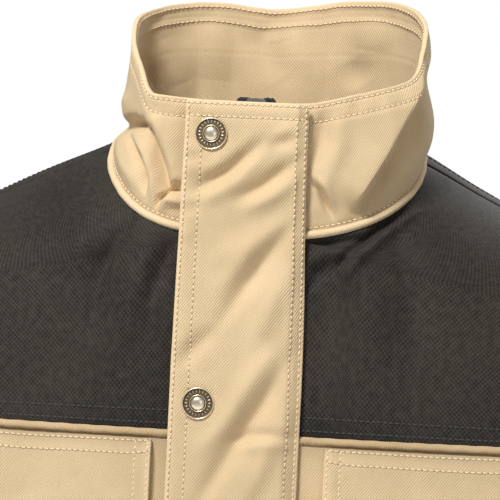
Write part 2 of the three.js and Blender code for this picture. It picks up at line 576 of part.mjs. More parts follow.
function tube(P, N, as, ts, thick, lift) {
  const na = as.length,
    nt = ts.length,
    pos = [],
    idx = [];
  for (let k = 0; k < 2; k++)
    for (let j = 0; j < nt; j++)
      for (let i = 0; i < na; i++) {
        const n = N(as[i], ts[j]);
        if (ts[j] === 0) n.setX(0).normalize();
        const p = P(as[i], ts[j]).addScaledVector(n, k === 0 ? lift : lift - thick);
        pos.push(p.x, p.y, p.z);
      }
  const at = (k, i, j) => (k * nt + j) * na + (i % na);
  const quad = (a, b, c, d) => idx.push(a, b, c, a, c, d);
  for (let i = 0; i < na; i++) {
    for (let j = 0; j < nt - 1; j++) {
      quad(at(0, i, j), at(0, i + 1, j), at(0, i + 1, j + 1), at(0, i, j + 1));
      quad(at(1, i, j), at(1, i, j + 1), at(1, i + 1, j + 1), at(1, i + 1, j));
    }
    quad(at(1, i, 0), at(1, i + 1, 0), at(0, i + 1, 0), at(0, i, 0));
    quad(at(0, i, nt - 1), at(0, i + 1, nt - 1), at(1, i + 1, nt - 1), at(1, i, nt - 1));
  }
  const g = new THREE.BufferGeometry();
  g.setAttribute("position", new THREE.Float32BufferAttribute(pos, 3));
  g.setIndex(idx);
  g.computeVertexNormals();
  return g;
}
const A16 = Array.from({ length: 18 }, (_, i) => i / 18);
const sleeve = tube(sleevePoint, sleeveNormal, A16, [0, 0.06, 0.12, 0.18, 0.24, 0.3, 0.42, 0.56, 0.72, T_CUFF - 0.001], T_SLEEVE, 0);
put(drafted, "sleeve_left", sleeve, twill());
put(drafted, "sleeve_right", mirrored(sleeve), twill());
const cuff = tube(sleevePoint, sleeveNormal, A16, [T_CUFF, 1], 3.2, 0.3);
put(drafted, "cuff_left", cuff, twill());
put(drafted, "cuff_right", mirrored(cuff), twill());
// cuff tab: a strap round the outer back of the cuff
const TAB_A0 = 0.765,
  TAB_A1 = 0.955,
  TAB_T0 = 0.918,
  TAB_T1 = 0.972;
const tabP = (u, w) => sleevePoint(lerp(TAB_A0, TAB_A1, u), lerp(TAB_T0, TAB_T1, w));
const tab = shell(tabP, [0, 0.2, 0.4, 0.6, 0.8, 1], [0, 1], 2, { lift: 3.2 });
put(drafted, "cuff_tab_left", tab, twill());
put(drafted, "cuff_tab_right", mirrored(tab), twill());
{
  const p = tabP(0.83, 0.5),
    n = normalAt(tabP, 0.83, 0.5, false);
  for (const side of [1, -1]) {
    const q = p.clone(),
      m = n.clone();
    q.x *= side;
    m.x *= side;
    seat(drafted, "cuff_snap_cap_" + (side > 0 ? "left" : "right"), lathe(capProfile(0)), brass(), q, m, 4.4);
  }
}

export default jacket;
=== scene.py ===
import math

import bpy
import numpy as np
from mathutils import Matrix, Vector


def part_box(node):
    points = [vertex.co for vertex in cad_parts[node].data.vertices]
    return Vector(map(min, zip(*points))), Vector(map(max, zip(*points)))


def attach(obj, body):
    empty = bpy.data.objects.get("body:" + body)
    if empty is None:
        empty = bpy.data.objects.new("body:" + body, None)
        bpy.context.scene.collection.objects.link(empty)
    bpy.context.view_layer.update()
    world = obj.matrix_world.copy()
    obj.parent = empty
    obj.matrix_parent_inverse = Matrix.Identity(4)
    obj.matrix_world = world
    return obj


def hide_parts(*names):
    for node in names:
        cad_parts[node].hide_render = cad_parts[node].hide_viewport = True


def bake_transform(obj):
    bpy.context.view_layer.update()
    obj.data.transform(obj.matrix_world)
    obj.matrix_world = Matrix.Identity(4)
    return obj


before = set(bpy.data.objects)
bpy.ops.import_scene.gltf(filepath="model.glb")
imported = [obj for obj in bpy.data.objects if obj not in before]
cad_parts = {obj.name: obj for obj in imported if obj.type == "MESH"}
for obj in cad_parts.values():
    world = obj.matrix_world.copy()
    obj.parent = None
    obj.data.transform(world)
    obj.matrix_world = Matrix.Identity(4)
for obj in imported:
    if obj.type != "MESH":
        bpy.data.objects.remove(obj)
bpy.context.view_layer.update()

# Everything is drafted in millimetres with the hem at z = 0, as the solids are, then moved so that
# the eye of the hanger loop is the origin, in metres.
EYE = np.array([0.0, 37.0, 720.0])
FRONT_LEN, CF_Y0, CF_SLOPE = 735.0, -138.0, 0.0735
PIPE_Z = 564.0
YOKE_Z = PIPE_Z + 1.2
BAND_H = 50.0
ARMPIT_Z, SHOULDER_Z, ARM_X = 420.0, 648.0, 205.0
ARM_FRONT, ARM_BACK = 58.0, 62.0
NECK = dict(a=86.0, b=68.0, y=-21.0, zf=667.0, zb=715.0, bump=60.0)
TOP = dict(a=85.0, b=69.0, y=-15.0, zf=735.0, zb=780.0, bump=24.0)
ZIP_HALF = 9.0
SNAP_X, SNAP_FIRST, SNAP_PITCH, SNAP_COUNT = -21.0, 17.5, 137.0, 6
V_YOKE, V_NF, V_NB = 0.6, 0.793, 0.836
rng = np.random.default_rng(7)


def lerp(a, b, t):
    return a + (b - a) * t


def smooth(x, a, b):
    t = np.clip((x - a) / (b - a), 0, 1)
    return t * t * (3 - 2 * t)


def table(pairs, x):
    """The smooth curve through pairs that the solids use."""
    x = np.asarray(x, float)
    X = np.array([p[0] for p in pairs], float)
    Y = np.array([p[1] for p in pairs], float)
    n = len(X)
    x = np.clip(x, X[0], X[-1])
    i = np.clip(np.searchsorted(X, x, side="left") - 1, 0, n - 2)
    M = np.zeros(n)
    if n > 2:
        M[1:-1] = (Y[2:] - Y[:-2]) / (X[2:] - X[:-2])
    h = X[i + 1] - X[i]
    t = (x - X[i]) / h
    s = (Y[i + 1] - Y[i]) / h
    m0 = np.where(i == 0, s, M[i])
    m1 = np.where(i == n - 2, s, M[i + 1])
    t2, t3 = t * t, t * t * t
    return (2 * t3 - 3 * t2 + 1) * Y[i] + (t3 - 2 * t2 + t) * h * m0 + (-2 * t3 + 3 * t2) * Y[i + 1] + (t3 - t2) * h * m1


def vec(x, y, z):
    x, y, z = np.broadcast_arrays(np.asarray(x, float), np.asarray(y, float), np.asarray(z, float))
    return np.stack([x, y, z], -1)


def cfy(z):
    return CF_Y0 + CF_SLOPE * z


def cby(z):
    return table([(0, 122), (60, 128), (220, 126), (420, 146), (520, 140), (620, 112), (680, 76), (715, 47)], z)


def side_x(z):
    return table([(0, 198), (50, 199), (75, 204), (130, ARM_X), (420, ARM_X)], z)


def side_y(z):
    return table([(0, -6), (420, 15)], z)


def ring(R, phi, out=0.0):
    """phi 0 at centre front, pi/2 at the side, pi at the nape."""
    phi = np.asarray(phi, float)
    n = np.where(phi < math.pi / 2, 2.6, 2.2)
    s = np.abs(np.sin(phi)) ** (2 / n)
    c = np.sign(np.cos(phi)) * np.abs(np.cos(phi)) ** (2 / n)
    y = R["y"] - (R["b"] + out) * c
    t = np.clip((y - (R["y"] - R["b"])) / (2 * R["b"]), 0, 1)
    return vec((R["a"] + out) * s, y, R["zf"] + (R["zb"] - R["zf"]) * t + R["bump"] * t * (1 - t))


def armhole(beta, back):
    h = (SHOULDER_Z - ARMPIT_Z) / 2
    z = (ARMPIT_Z + SHOULDER_Z) / 2 + h * np.sin(beta)
    yc = lerp(15, 5, (z - ARMPIT_Z) / (SHOULDER_Z - ARMPIT_Z))
    return vec(ARM_X, yc + (ARM_BACK if back else -ARM_FRONT) * np.cos(beta), z)


BETA_Y = math.asin((YOKE_Z - (ARMPIT_Z + SHOULDER_Z) / 2) / ((SHOULDER_Z - ARMPIT_Z) / 2))
PHI_EDGE = math.asin((ZIP_HALF / NECK["a"]) ** 1.3)


def outer_edge(v, back):
    v = np.asarray(v, float)
    z = v / V_YOKE * YOKE_Z
    low = vec(side_x(z), side_y(z), z)
    beta = np.arcsin(np.clip((z - (ARMPIT_Z + SHOULDER_Z) / 2) / ((SHOULDER_Z - ARMPIT_Z) / 2), -1, 1))
    mid = armhole(beta, back)
    high = armhole(lerp(BETA_Y, math.pi / 2, (v - V_YOKE) / (1 - V_YOKE)), back)
    return np.where((v > V_YOKE)[..., None], high, np.where((z <= ARMPIT_Z)[..., None], low, mid))


def inner_edge(v, back):
    v = np.asarray(v, float)
    vn, x0 = (V_NB, 0.0) if back else (V_NF, ZIP_HALF)
    cy = cby if back else cfy
    z1 = v / V_YOKE * YOKE_Z
    low = vec(x0, cy(z1), z1)
    z2 = lerp(YOKE_Z, NECK["zb"] if back else NECK["zf"], (v - V_YOKE) / (vn - V_YOKE))
    mid = vec(x0, cy(z2), z2)
    t = np.clip((v - vn) / (1 - vn), 0, 1)
    high = ring(NECK, lerp(math.pi, math.pi / 2, t) if back else lerp(PHI_EDGE, math.pi / 2, t))
    return np.where((v > vn)[..., None], high, np.where((v > V_YOKE)[..., None], mid, low))


def body_point(s, v, back):
    s, v = np.broadcast_arrays(np.asarray(s, float), np.asarray(v, float))
    A, B = inner_edge(v, back), outer_edge(v, back)
    n0 = 2.5 if back else 3.2
    n = np.where(v <= V_YOKE, n0, lerp(n0, 1, np.clip((v - V_YOKE) / (1 - V_YOKE), 0, 1) ** 0.8))
    c = np.maximum(0, 1 - s**n) ** (1 / n)
    return vec(lerp(A[..., 0], B[..., 0], s), B[..., 1] + (A[..., 1] - B[..., 1]) * c, lerp(A[..., 2], B[..., 2], s))


def v_of_z(z):
    return np.asarray(z, float) / YOKE_Z * V_YOKE


def even_s(n, back, z=300.0, first=0.0, last=1.0):
    """n values of s spaced evenly along a row."""
    t = np.linspace(0, 1, 4000)
    s = 1 - (1 - t) ** 6
    s = s[(s >= first) & (s <= last)]
    s[0], s[-1] = first, last
    p = body_point(s, v_of_z(z), back)
    a = np.concatenate([[0], np.cumsum(np.linalg.norm(np.diff(p, axis=0), axis=1))])
    out = np.interp(np.linspace(0, a[-1], n), a, s)
    out[-1] = last
    return out


# ---------------------------------------------------------------- the reference view
CAM = dict(az=4.66, el=4.56, roll=2.52, dist=1150.0, at=np.array([1.0, cfy(660.0), 659.6]), f=2254.6)


def camera_axes():
    a, e, r = (math.radians(CAM[k]) for k in ("az", "el", "roll"))
    d = np.array([math.sin(a) * math.cos(e), -math.cos(a) * math.cos(e), math.sin(e)])
    right = np.cross(-d, [0, 0, 1])
    right /= np.linalg.norm(right)
    up = np.cross(right, -d)
    return CAM["at"] + d * CAM["dist"], right * math.cos(r) + up * math.sin(r), -right * math.sin(r) + up * math.cos(r), -d


def chart(P):
    """Where a point shows in the reference view, on a 500 x 500 chart."""
    C, R, U, F = camera_axes()
    q = P - C
    z = q @ F
    return 250 + CAM["f"] * (q @ R) / z, 250 - CAM["f"] * (q @ U) / z


# ---------------------------------------------------------------- folds
def strokes(x, y, folds):
    """Sum of soft ridges and valleys. A fold is (points, height, half width): points are chart x, y;
    height in millimetres, below 0 for a valley."""
    out = np.zeros(np.shape(x))
    for pts, height, width in folds:
        pts = np.asarray(pts, float)
        best = np.full(np.shape(x), 1e9)
        along = np.zeros(np.shape(x))
        seg = np.linalg.norm(np.diff(pts, axis=0), axis=1)
        total, run = seg.sum(), 0.0
        for (x0, y0), (x1, y1), L in zip(pts[:-1], pts[1:], seg):
            t = np.clip(((x - x0) * (x1 - x0) + (y - y0) * (y1 - y0)) / L**2, 0, 1)
            d = np.hypot(x - x0 - t * (x1 - x0), y - y0 - t * (y1 - y0))
            closer = d < best
            best = np.where(closer, d, best)
            along = np.where(closer, (run + t * L) / total, along)
            run += L
        taper = np.sin(np.pi * np.clip(along * 0.9 + 0.05, 0, 1)) ** 0.7
        out += height * taper * np.exp(-((best / (width * (0.55 + 0.45 * taper))) ** 2))
    return out


def ledge(x, y, pts, height, rise, drop):
    """A fold that climbs slowly from the left of a line and falls off sharply at it."""
    pts = np.asarray(pts, float)
    best = np.full(np.shape(x), 1e9)
    sign = np.ones(np.shape(x))
    along = np.zeros(np.shape(x))
    seg = np.linalg.norm(np.diff(pts, axis=0), axis=1)
    total, run = seg.sum(), 0.0
    for (x0, y0), (x1, y1), L in zip(pts[:-1], pts[1:], seg):
        t = np.clip(((x - x0) * (x1 - x0) + (y - y0) * (y1 - y0)) / L**2, 0, 1)
        d = np.hypot(x - x0 - t * (x1 - x0), y - y0 - t * (y1 - y0))
        side = (x1 - x0) * (y - y0) - (y1 - y0) * (x - x0)
        closer = d < best
        best = np.where(closer, d, best)
        sign = np.where(closer, np.where(side > 0, -1.0, 1.0), sign)
        along = np.where(closer, (run + t * L) / total, along)
        run += L
    taper = smooth(along, 0.0, 0.22) * (1 - smooth(along, 0.84, 1.0) * 0.85)
    f = np.where(sign < 0, np.exp(-best / rise), np.exp(-((best / drop) ** 2)))
    return height * taper * f


def field(seed, a, b, la, lb, k=14):
    """A smooth random field over (a, b) with the given correlation lengths, roughly in -1..1."""
    r = np.random.default_rng(seed)
    out = np.zeros(np.broadcast(a, b).shape)
    for _ in range(k):
        out = out + np.cos(r.normal() / la * a + r.normal() / lb * b + r.uniform(0, 2 * math.pi))
    return out / math.sqrt(k / 2) * 0.6


def creases(seed, a, b, la, lb, k=14):
    """Crest-like version of a field: rounded crests between broad hollows, mean about 0."""
    g = field(seed, a, b, la, lb, k)
    return 0.62 - np.sqrt(g * g + 0.02) * 1.35


def body_folds(P, back):
    """Height in millimetres of the folds of the torso at a point of its surface."""
    x, y, z = P[..., 0], P[..., 1], P[..., 2]
    side = smooth(np.abs(x), 60, 190)
    ang = np.arctan2(x, -(y - 10)) * 140.0
    h = 1.6 * field(11, ang, z, 46, 150) + 0.7 * field(12, ang, z, 20, 60)
    # gathers standing on the waistband
    h += (creases(13, ang, z, 13, 90) * 4.2) * (1 - smooth(z, 60, 190)) * (0.35 + 0.65 * side)
    # drag lines from the armpit
    for sx in (-1, 1):
        d = np.hypot((x - sx * 205) * 1.0, z - 430)
        th = np.arctan2(z - 430, -(x - sx * 205) * sx) * 95
        h += 3.2 * creases(21 + sx, th, d, 15, 160) * np.exp(-((d - 55) / 75) ** 2) * (np.sign(x) == sx)
    if back:
        h += 3.0 * creases(31, x, z, 34, 190) * smooth(z, 90, 250) * (1 - smooth(z, 470, 540))
    else:
        h += 1.8 * creases(32, x + z * 0.25, z, 30, 200) * smooth(z, 90, 220) * (1 - smooth(z, 400, 500)) * smooth(np.abs(x), 30, 90)
    # long slack crossing the lower body
    h += 2.0 * creases(33, z - 0.35 * np.abs(x), x, 34, 170) * smooth(z, 120, 220) * (1 - smooth(z, 330, 430)) * (0.25 + 0.75 * side)
    # yokes lie smoother
    h = np.where(z > PIPE_Z - 30, h * (1 - 0.62 * smooth(z, PIPE_Z - 30, PIPE_Z + 15)), h)
    # sewn lines stay put
    hold = smooth(np.abs(np.abs(x) - 205), 0, 10) if False else 1.0
    arm = np.abs(np.abs(x) - ARM_X) < 14
    fade = np.where(arm & (z > 400), smooth(ARM_X - np.abs(x), 0.0, 14), 1.0)
    pipe = 1 - 0.75 * np.exp(-(((z - PIPE_Z) / 7) ** 2))
    hem = smooth(z, BAND_H - 6, BAND_H + 22)
    rn = np.hypot(x / 90.0, (y + 18) / 74.0)
    neck = np.where(z > 640, smooth(rn, 1.0, 1.35), 1.0)
    cf = np.where((np.abs(x) < 60) & (y < 0), 0.25 + 0.75 * smooth(np.abs(x), 12, 60), 1.0)
    return 1.65 * h * fade * pipe * hem * neck * cf * hold


def neck_lean(P):
    """The worn collar pulls the neck seam in a little on the wearer's right."""
    x, z = P[..., 0], P[..., 2]
    g = np.exp(-(((-x - 84) / 30.0) ** 2)) * (x < 0) * smooth(z, 640, 690)
    out = P.copy()
    out[..., 0] += 6.0 * g
    return out


# ---------------------------------------------------------------- mesh helpers
def normals(P, closed=False):
    if closed:
        du = np.roll(P, -1, 1) - np.roll(P, 1, 1)
    else:
        du = np.empty_like(P)
        du[:, 1:-1] = P[:, 2:] - P[:, :-2]
        du[:, 0], du[:, -1] = P[:, 1] - P[:, 0], P[:, -1] - P[:, -2]
    dv = np.empty_like(P)
    dv[1:-1] = P[2:] - P[:-2]
    dv[0], dv[-1] = P[1] - P[0], P[-1] - P[-2]
    n = np.cross(du, dv)
    return n / np.maximum(np.linalg.norm(n, axis=-1, keepdims=True), 1e-9)


def relax(P, times, keep_edges=True):
    for _ in range(times):
        Q = P.copy()
        Q[1:-1, 1:-1] = 0.5 * P[1:-1, 1:-1] + 0.125 * (P[2:, 1:-1] + P[:-2, 1:-1] + P[1:-1, 2:] + P[1:-1, :-2])
        P = Q
    return P


def raw_object(name, verts_mm, faces, uvs=None, attrs=None, smooth_shade=True):
    me = bpy.data.meshes.new(name)
    v = (np.asarray(verts_mm, float).reshape(-1, 3) - EYE) / 1000.0
    faces = np.asarray(faces, np.int64)
    k = faces.shape[1]
    me.vertices.add(len(v))
    me.vertices.foreach_set("co", v.ravel())
    me.loops.add(faces.size)
    me.loops.foreach_set("vertex_index", faces.ravel().astype(np.int32))
    me.polygons.add(len(faces))
    me.polygons.foreach_set("loop_start", np.arange(0, faces.size, k, dtype=np.int32))
    me.update(calc_edges=True)
    if uvs is not None:
        layer = me.uv_layers.new(name="UVMap")
        layer.data.foreach_set("uv", np.asarray(uvs, float).ravel().astype(np.float32))
    for key, val in (attrs or {}).items():
        a = me.attributes.new(key, "FLOAT", "POINT")
        a.data.foreach_set("value", np.asarray(val, float).ravel().astype(np.float32))
    me.polygons.foreach_set("use_smooth", [smooth_shade] * len(me.polygons))
    me.validate()
    ob = bpy.data.objects.new(name, me)
    bpy.context.collection.objects.link(ob)
    return ob


def settle(ob):
    """Applies the modifiers of ob to its mesh."""
    dg = bpy.context.evaluated_depsgraph_get()
    dg.update()
    me = bpy.data.meshes.new_from_object(ob.evaluated_get(dg), preserve_all_data_layers=True, depsgraph=dg)
    old = ob.data
    ob.modifiers.clear()
    ob.data = me
    me.name = ob.name
    bpy.data.meshes.remove(old)
    return ob


class Sheet:
    """A cloth surface over a grid: us across, vs up, P[v, u] the outer face in millimetres."""

    def __init__(self, us, vs, P, closed=False, flip=False):
        self.us, self.vs, self.P, self.closed, self.flip = np.asarray(us, float), np.asarray(vs, float), P, closed, flip
        self.refresh()

    def refresh(self):
        self.N = normals(self.P, self.closed)
        if self.flip:
            self.N = -self.N

    def at(self, u, v):
        iu = np.interp(u, self.us, np.arange(len(self.us)))
        iv = np.interp(v, self.vs, np.arange(len(self.vs)))
        i0 = np.clip(iu.astype(int), 0, self.P.shape[1] - 2)
        j0 = np.clip(iv.astype(int), 0, self.P.shape[0] - 2)
        fu, fv = (iu - i0)[:, None], (iv - j0)[:, None]

        def pick(A):
            return (A[j0, i0] * (1 - fu) + A[j0, i0 + 1] * fu) * (1 - fv) + (A[j0 + 1, i0] * (1 - fu) + A[j0 + 1, i0 + 1] * fu) * fv

        n = pick(self.N)
        return pick(self.P), n / np.linalg.norm(n, axis=1, keepdims=True)

    def push(self, h):
        self.P = self.P + self.N * h[..., None]
        self.refresh()

    def uv_grid(self):
        """Lengths along the cloth, in millimetres, across and up."""
        P = self.P
        du = np.linalg.norm(np.diff(P, axis=1), axis=2)
        dv = np.linalg.norm(np.diff(P, axis=0), axis=2)
        mid = du[du.shape[0] // 2]
        U = np.concatenate([[0], np.cumsum(mid)])
        Uc = U - U[len(U) // 2]
        V = np.concatenate([[0], np.cumsum(np.median(dv, axis=1))])
        return np.broadcast_to(Uc[None, :], P.shape[:2]), np.broadcast_to(V[:, None], P.shape[:2])

    def build(self, name, thick, mat, levels=1, uv=None, attrs=None, slot="twill", share=None):
        nv, nu = self.P.shape[:2]
        U, V = uv if uv is not None else self.uv_grid()
        cols = nu if self.closed else nu - 1
        j, i = np.meshgrid(np.arange(nv - 1), np.arange(cols), indexing="ij")
        a = j * nu + i
        b = j * nu + (i + 1) % nu
        c = (j + 1) * nu + (i + 1) % nu
        d = (j + 1) * nu + i
        F = np.stack([a, b, c, d], -1).reshape(-1, 4)
        if self.closed:
            U = np.concatenate([U, 2 * U[:, -1:] - U[:, -2:-1]], 1)
            V = np.concatenate([V, V[:, :1]], 1)
        cu = np.stack([U[:-1, :cols], U[:-1, 1 : cols + 1], U[1:, 1 : cols + 1], U[1:, :cols]], -1).reshape(-1, 4)
        cv = np.stack([V[:-1, :cols], V[:-1, 1 : cols + 1], V[1:, 1 : cols + 1], V[1:, :cols]], -1).reshape(-1, 4)
        uvs = np.stack([cu, cv], -1) * 0.01
        if self.flip:
            F, uvs = F[:, ::-1], uvs[:, ::-1]
        at = {"wear": np.zeros((nv, nu)), "seam": np.zeros((nv, nu))}
        at.update(attrs or {})
        if self.flip:  # the weave runs the same way on every piece, seen from outside
            uvs = uvs * np.array([-1.0, 1.0])
        ob = raw_object(name, self.P, F, uvs.reshape(-1, 2), at)
        m = ob.modifiers.new("thick", "SOLIDIFY")
        m.thickness, m.offset = thick / 1000.0, -1.0
        m.use_even_offset = False
        if share is not None:
            g = ob.vertex_groups.new(name="share")
            q = np.round(np.broadcast_to(share, (nv, nu)).ravel() * 24).astype(int)
            for k in np.unique(q):
                g.add(np.nonzero(q == k)[0].tolist(), float(k) / 24.0, "REPLACE")
            m.vertex_group = "share"
        if levels:
            m = ob.modifiers.new("round", "SUBSURF")
            m.levels = m.render_levels = levels
        settle(ob)
        ob.data.polygons.foreach_set("use_smooth", [True] * len(ob.data.polygons))
        ob.data.materials.clear()
        ob.data.materials.append(mat)
        return ob


def declare(ob, *sheets):
    """Sums the width, length and area a cloth panel is cut to; the sums are not used further."""
    w = ln = area = 0.0
    for sh in sheets:
        P = sh.P / 1000.0
        if sh.closed:
            P = np.concatenate([P, P[:, :1]], 1)
        a, b, c, d = P[:-1, :-1], P[:-1, 1:], P[1:, 1:], P[1:, :-1]
        area += 0.5 * (np.linalg.norm(np.cross(b - a, c - a), axis=-1).sum() + np.linalg.norm(np.cross(c - a, d - a), axis=-1).sum())
        w += np.linalg.norm(np.diff(P, axis=1), axis=2).sum(1).max()
        ln = max(ln, np.linalg.norm(np.diff(P, axis=0), axis=2).sum(0).max())


def lines_with(base, extra, gap):
    """base plus grid lines close on both sides of each extra value."""
    out = list(base)
    for e in extra:
        out += [e - gap, e, e + gap]
    out = np.unique(np.round([x for x in out if base[0] <= x <= base[-1]], 6))
    keep = [out[0]]
    for x in out[1:-1]:
        if x - keep[-1] > gap * 0.45:
            keep.append(x)
    if out[-1] - keep[-1] < gap * 0.4:
        keep.pop()
    keep.append(out[-1])
    return np.array(keep)


def tube(points, radius, sides=12, closed=False, squash_n=None, caps=True):
    """Swept round section along points. Returns vertices, faces and uvs in millimetres."""
    P = np.asarray(points, float)
    T = np.gradient(P, axis=0)
    T /= np.linalg.norm(T, axis=1, keepdims=True)
    if squash_n is None:
        up = np.array([0, 0, 1.0]) if abs(T[0][2]) < 0.9 else np.array([1.0, 0, 0])
        N = [np.cross(np.cross(T[0], up), T[0])]
        for k in range(1, len(P)):
            n = N[-1] - T[k] * (N[-1] @ T[k])
            N.append(n / np.linalg.norm(n))
        N = np.array(N)
    else:
        N = squash_n - T * np.sum(squash_n * T, 1, keepdims=True)
    N /= np.linalg.norm(N, axis=1, keepdims=True)
    B = np.cross(T, N)
    ang = np.arange(sides) * 2 * math.pi / sides
    R = np.broadcast_to(np.asarray(radius, float), (len(P),)) if np.ndim(radius) < 2 else radius
    V = P[:, None] + R[:, None, None] * (np.cos(ang)[None, :, None] * N[:, None] + np.sin(ang)[None, :, None] * B[:, None])
    n = len(P)
    arc = np.concatenate([[0], np.cumsum(np.linalg.norm(np.diff(P, axis=0), axis=1))])
    F, UV = [], []
    j, i = np.meshgrid(np.arange(n - 1), np.arange(sides), indexing="ij")
    F = np.stack([j * sides + i, j * sides + (i + 1) % sides, (j + 1) * sides + (i + 1) % sides, (j + 1) * sides + i], -1).reshape(-1, 4)[:, ::-1]
    g = np.mean(R) * 2 * math.pi / sides
    UV = np.stack([np.stack([arc[j], i * g], -1), np.stack([arc[j], (i + 1) * g], -1), np.stack([arc[j + 1], (i + 1) * g], -1), np.stack([arc[j + 1], i * g], -1)], -2).reshape(-1, 4, 2)[:, ::-1] * 0.01
    V = V.reshape(-1, 3)
    if caps:
        V = np.concatenate([V, P[:1], P[-1:]])
        c0, c1 = len(V) - 2, len(V) - 1
        ii = np.arange(sides)
        capf = np.concatenate([
            np.stack([np.full(sides, c0), ii, (ii + 1) % sides, (ii + 1) % sides], -1),
            np.stack([np.full(sides, c1), (n - 1) * sides + (ii + 1) % sides, (n - 1) * sides + ii, (n - 1) * sides + ii], -1),
        ])
        return V, F, UV, capf
    return V, F, UV, None


def tube_object(name, points, radius, mat, sides=12, squash_n=None):
    V, F, UV, caps = tube(points, radius, sides, squash_n=squash_n)
    me = bpy.data.meshes.new(name)
    tri = caps[:, :3]
    if len(tri):
        tri = tri[:, ::-1]
    me.from_pydata(((V - EYE) / 1000.0).tolist(), [], F.tolist() + tri.tolist())
    layer = me.uv_layers.new(name="UVMap")
    uv = np.concatenate([UV.reshape(-1, 2), np.zeros((len(tri) * 3, 2))])
    layer.data.foreach_set("uv", uv.ravel().astype(np.float32))
    for key in ("wear", "seam"):
        me.attributes.new(key, "FLOAT", "POINT")
    me.polygons.foreach_set("use_smooth", [True] * len(me.polygons))
    me.validate()
    me.update()
    ob = bpy.data.objects.new(name, me)
    bpy.context.collection.objects.link(ob)
    me.materials.append(mat)
    fix_outward(ob)
    return ob


def fix_outward(ob):
    import bmesh
    bm = bmesh.new()
    bm.from_mesh(ob.data)
    bmesh.ops.recalc_face_normals(bm, faces=bm.faces)
    bm.to_mesh(ob.data)
    bm.free()


# ---------------------------------------------------------------- stitches
def stitch_rows(rows, pitch=3.0, length=2.35, r=0.42, sink=0.06):
    """rows of (points, normals) in millimetres. Returns vertices and faces of a run of thread stitches."""
    ang = np.arange(6) * math.pi / 3
    prof = [(-0.5, 0.35, -0.55), (-0.36, 0.85, -0.1), (0.0, 1.0, 0.28), (0.36, 0.85, -0.1), (0.5, 0.35, -0.55)]
    Vs, Fs, base = [], [], 0
    ring_f = []
    for j in range(4):
        for i in range(6):
            ring_f.append((j * 6 + i, (j + 1) * 6 + i, (j + 1) * 6 + (i + 1) % 6, j * 6 + (i + 1) % 6))
    ring_f += [(0, 1, 2, 3), (0, 3, 4, 5), (27, 26, 25, 24), (29, 28, 27, 24)]
    ring_f = np.array(ring_f)
    for P, N in rows:
        arc = np.concatenate([[0], np.cumsum(np.linalg.norm(np.diff(P, axis=0), axis=1))])
        n = max(1, int(arc[-1] / pitch))
        mid = (np.arange(n) + 0.5) * arc[-1] / n

        def at(a):
            return np.stack([np.interp(a, arc, P[:, k]) for k in range(3)], -1)

        c = at(mid)
        t = at(np.minimum(mid + 0.6, arc[-1])) - at(np.maximum(mid - 0.6, 0))
        t /= np.maximum(np.linalg.norm(t, axis=1, keepdims=True), 1e-9)
        m = np.stack([np.interp(mid, arc, N[:, k]) for k in range(3)], -1)
        m -= t * np.sum(m * t, 1, keepdims=True)
        m /= np.linalg.norm(m, axis=1, keepdims=True)
        b = np.cross(t, m)
        slant = rng.normal(0, 0.05, n)[:, None]
        t2 = t + b * (0.10 + slant)
        b2 = np.cross(t2, m)
        L = length * arc[-1] / n / pitch * (1 + rng.normal(0, 0.03, n))
        for off, rad, lift in prof:
            ctr = c + t2 * (off * L)[:, None] + m * (lift * 0.45 + 0.16 - sink)
            Vs_ring = ctr[:, None] + r * rad * (np.cos(ang)[None, :, None] * b2[:, None] + 0.85 * np.sin(ang)[None, :, None] * m[:, None])
            Vs.append(Vs_ring) if False else None
            if off == prof[0][0]:
                stack = [Vs_ring]
            else:
                stack.append(Vs_ring)
        V = np.stack(stack, 1).reshape(n, 30, 3)
        Vs.append(V.reshape(-1, 3))
        Fs.append((ring_f[None] + (base + np.arange(n) * 30)[:, None, None]).reshape(-1, 4))
        base += n * 30
    return np.concatenate(Vs), np.concatenate(Fs)


def needle_holes(rows, pitch, rx=0.62, ry=0.40, high=0.10):
    """Dark pits where the thread goes in, between the stitches, coloured as painted shade."""
    ang = np.arange(6) * math.pi / 3
    quads = [(0, 1, 2, 3), (0, 3, 4, 5)] + [(i, 6 + i, 6 + (i + 1) % 6, (i + 1) % 6) for i in range(6)]
    Vs, Fs, base = [], [], 0
    for P, N in rows:
        arc = np.concatenate([[0], np.cumsum(np.linalg.norm(np.diff(P, axis=0), axis=1))])
        n = max(1, int(arc[-1] / pitch))
        at = np.arange(n + 1) * arc[-1] / n
        c = np.stack([np.interp(at, arc, P[:, k]) for k in range(3)], -1)
        c2 = np.stack([np.interp(np.minimum(at + 0.6, arc[-1]), arc, P[:, k]) for k in range(3)], -1)
        c1 = np.stack([np.interp(np.maximum(at - 0.6, 0), arc, P[:, k]) for k in range(3)], -1)
        t = c2 - c1
        t /= np.maximum(np.linalg.norm(t, axis=1, keepdims=True), 1e-9)
        m = np.stack([np.interp(at, arc, N[:, k]) for k in range(3)], -1)
        m -= t * np.sum(m * t, 1, keepdims=True)
        m /= np.linalg.norm(m, axis=1, keepdims=True)
        b = np.cross(t, m)
        rim = rx * np.cos(ang)[None, :, None] * t[:, None] + ry * np.sin(ang)[None, :, None] * b[:, None]
        V = np.concatenate([c[:, None] + rim + high * m[:, None], c[:, None] + rim * 1.15 - 0.25 * m[:, None]], 1)
        Vs.append(V.reshape(-1, 3))
        Fs.append((np.array(quads)[None] + (base + np.arange(n + 1) * 12)[:, None, None]).reshape(-1, 4))
        base += (n + 1) * 12
    return np.concatenate(Vs), np.concatenate(Fs)


